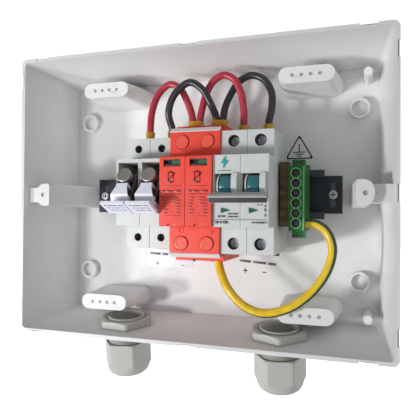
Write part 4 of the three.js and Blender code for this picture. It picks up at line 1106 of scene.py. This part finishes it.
# The sky's brightness: axis, its sign, the strength that way and how narrow it is.
SKY = (("X", 1, 0.8, 1.5), ("Z", 1, 0.42, 1.5), ("Y", -1, 0.12, 2.5), ("Y", 1, 0.5, 1.5))
# Soft lamps: place, what it points at, size and power.
LAMPS = {
    "key": ((-0.95, -0.95, -0.31), (0.02, -0.03, 0), 0.15, 7.0),
    "near": ((-0.214, -0.345, -0.103), (0, -0.03, 0), 0.05, 0.53),
}


def add_area_light(name, place, aim, size, power):
    data = bpy.data.lights.new(name, "AREA")
    data.shape = "DISK"
    data.size = size
    data.energy = power
    light = placed(name, data)
    light.visible_camera = False
    towards = (Vector(aim) - Vector(place)).to_track_quat("-Z", "Y")
    light.matrix_world = Matrix.Translation(Vector(place)) @ towards.to_matrix().to_4x4()


def add_studio():
    bm = bmesh.new()
    bmesh.ops.create_grid(bm, x_segments=1, y_segments=1, size=6, matrix=Matrix.Translation((0, 0, FLOOR_Z)))
    mesh = bpy.data.meshes.new("floor")
    bm.to_mesh(mesh)
    bm.free()
    floor = placed("floor", mesh)
    made = Shader("pale_floor", 0.7)
    made.colour(made.mix(made.noise(0.2, 3), rgb(246, 246, 246), rgb(250, 250, 250)))
    made.bsdf.inputs["Emission Color"].default_value = (1, 1, 1, 1)
    glow = made.remap(made.split(made.place)["Y"], 0.25, 0.6, 0.12, 1.0)
    made.link(glow, made.bsdf.inputs["Emission Strength"])
    mesh.materials.append(made.material)
    world = bpy.data.worlds.new("studio")
    SCENE.world = world
    world.use_nodes = True
    sky = Nodes(world.node_tree)
    ambient = sky.tree.nodes["Background"]
    ambient.inputs["Color"].default_value = (0.93, 0.96, 1, 1)
    direction = sky.split(sky.node("TexCoord")["Generated"])
    total = AMBIENT
    for axis, sign, strength, narrow in SKY:
        towards = sky.maths("MULTIPLY", direction[axis], sign, use_clamp=True)
        total = sky.maths("MULTIPLY_ADD", sky.maths("POWER", towards, narrow), strength, total)
    sky.link(total, ambient.inputs["Strength"])
    backdrop = sky.node("Background", {"Color": (1, 1, 1, 1), "Strength": 1.05})["Background"]
    seen = sky.node("LightPath")["Is Camera Ray"]
    mixed = sky.node("MixShader", {"Fac": seen, 1: ambient.outputs["Background"], 2: backdrop})["Shader"]
    sky.link(mixed, sky.tree.nodes["World Output"].inputs["Surface"])
    for name, (place, aim, size, power) in LAMPS.items():
        add_area_light(name, place, aim, size, power)
    SCENE.view_settings.view_transform = "Standard"


add_camera()
add_enclosure()
add_wall_labels()
add_earth_sign()
for holder in (1, 2):
    add_fuse_holder(holder)
add_surge_protector()
add_breaker()
add_earth_block()
add_wires()
add_ferrules()
for gland_side, _ in SIDES:
    add_gland(gland_side)
add_studio()
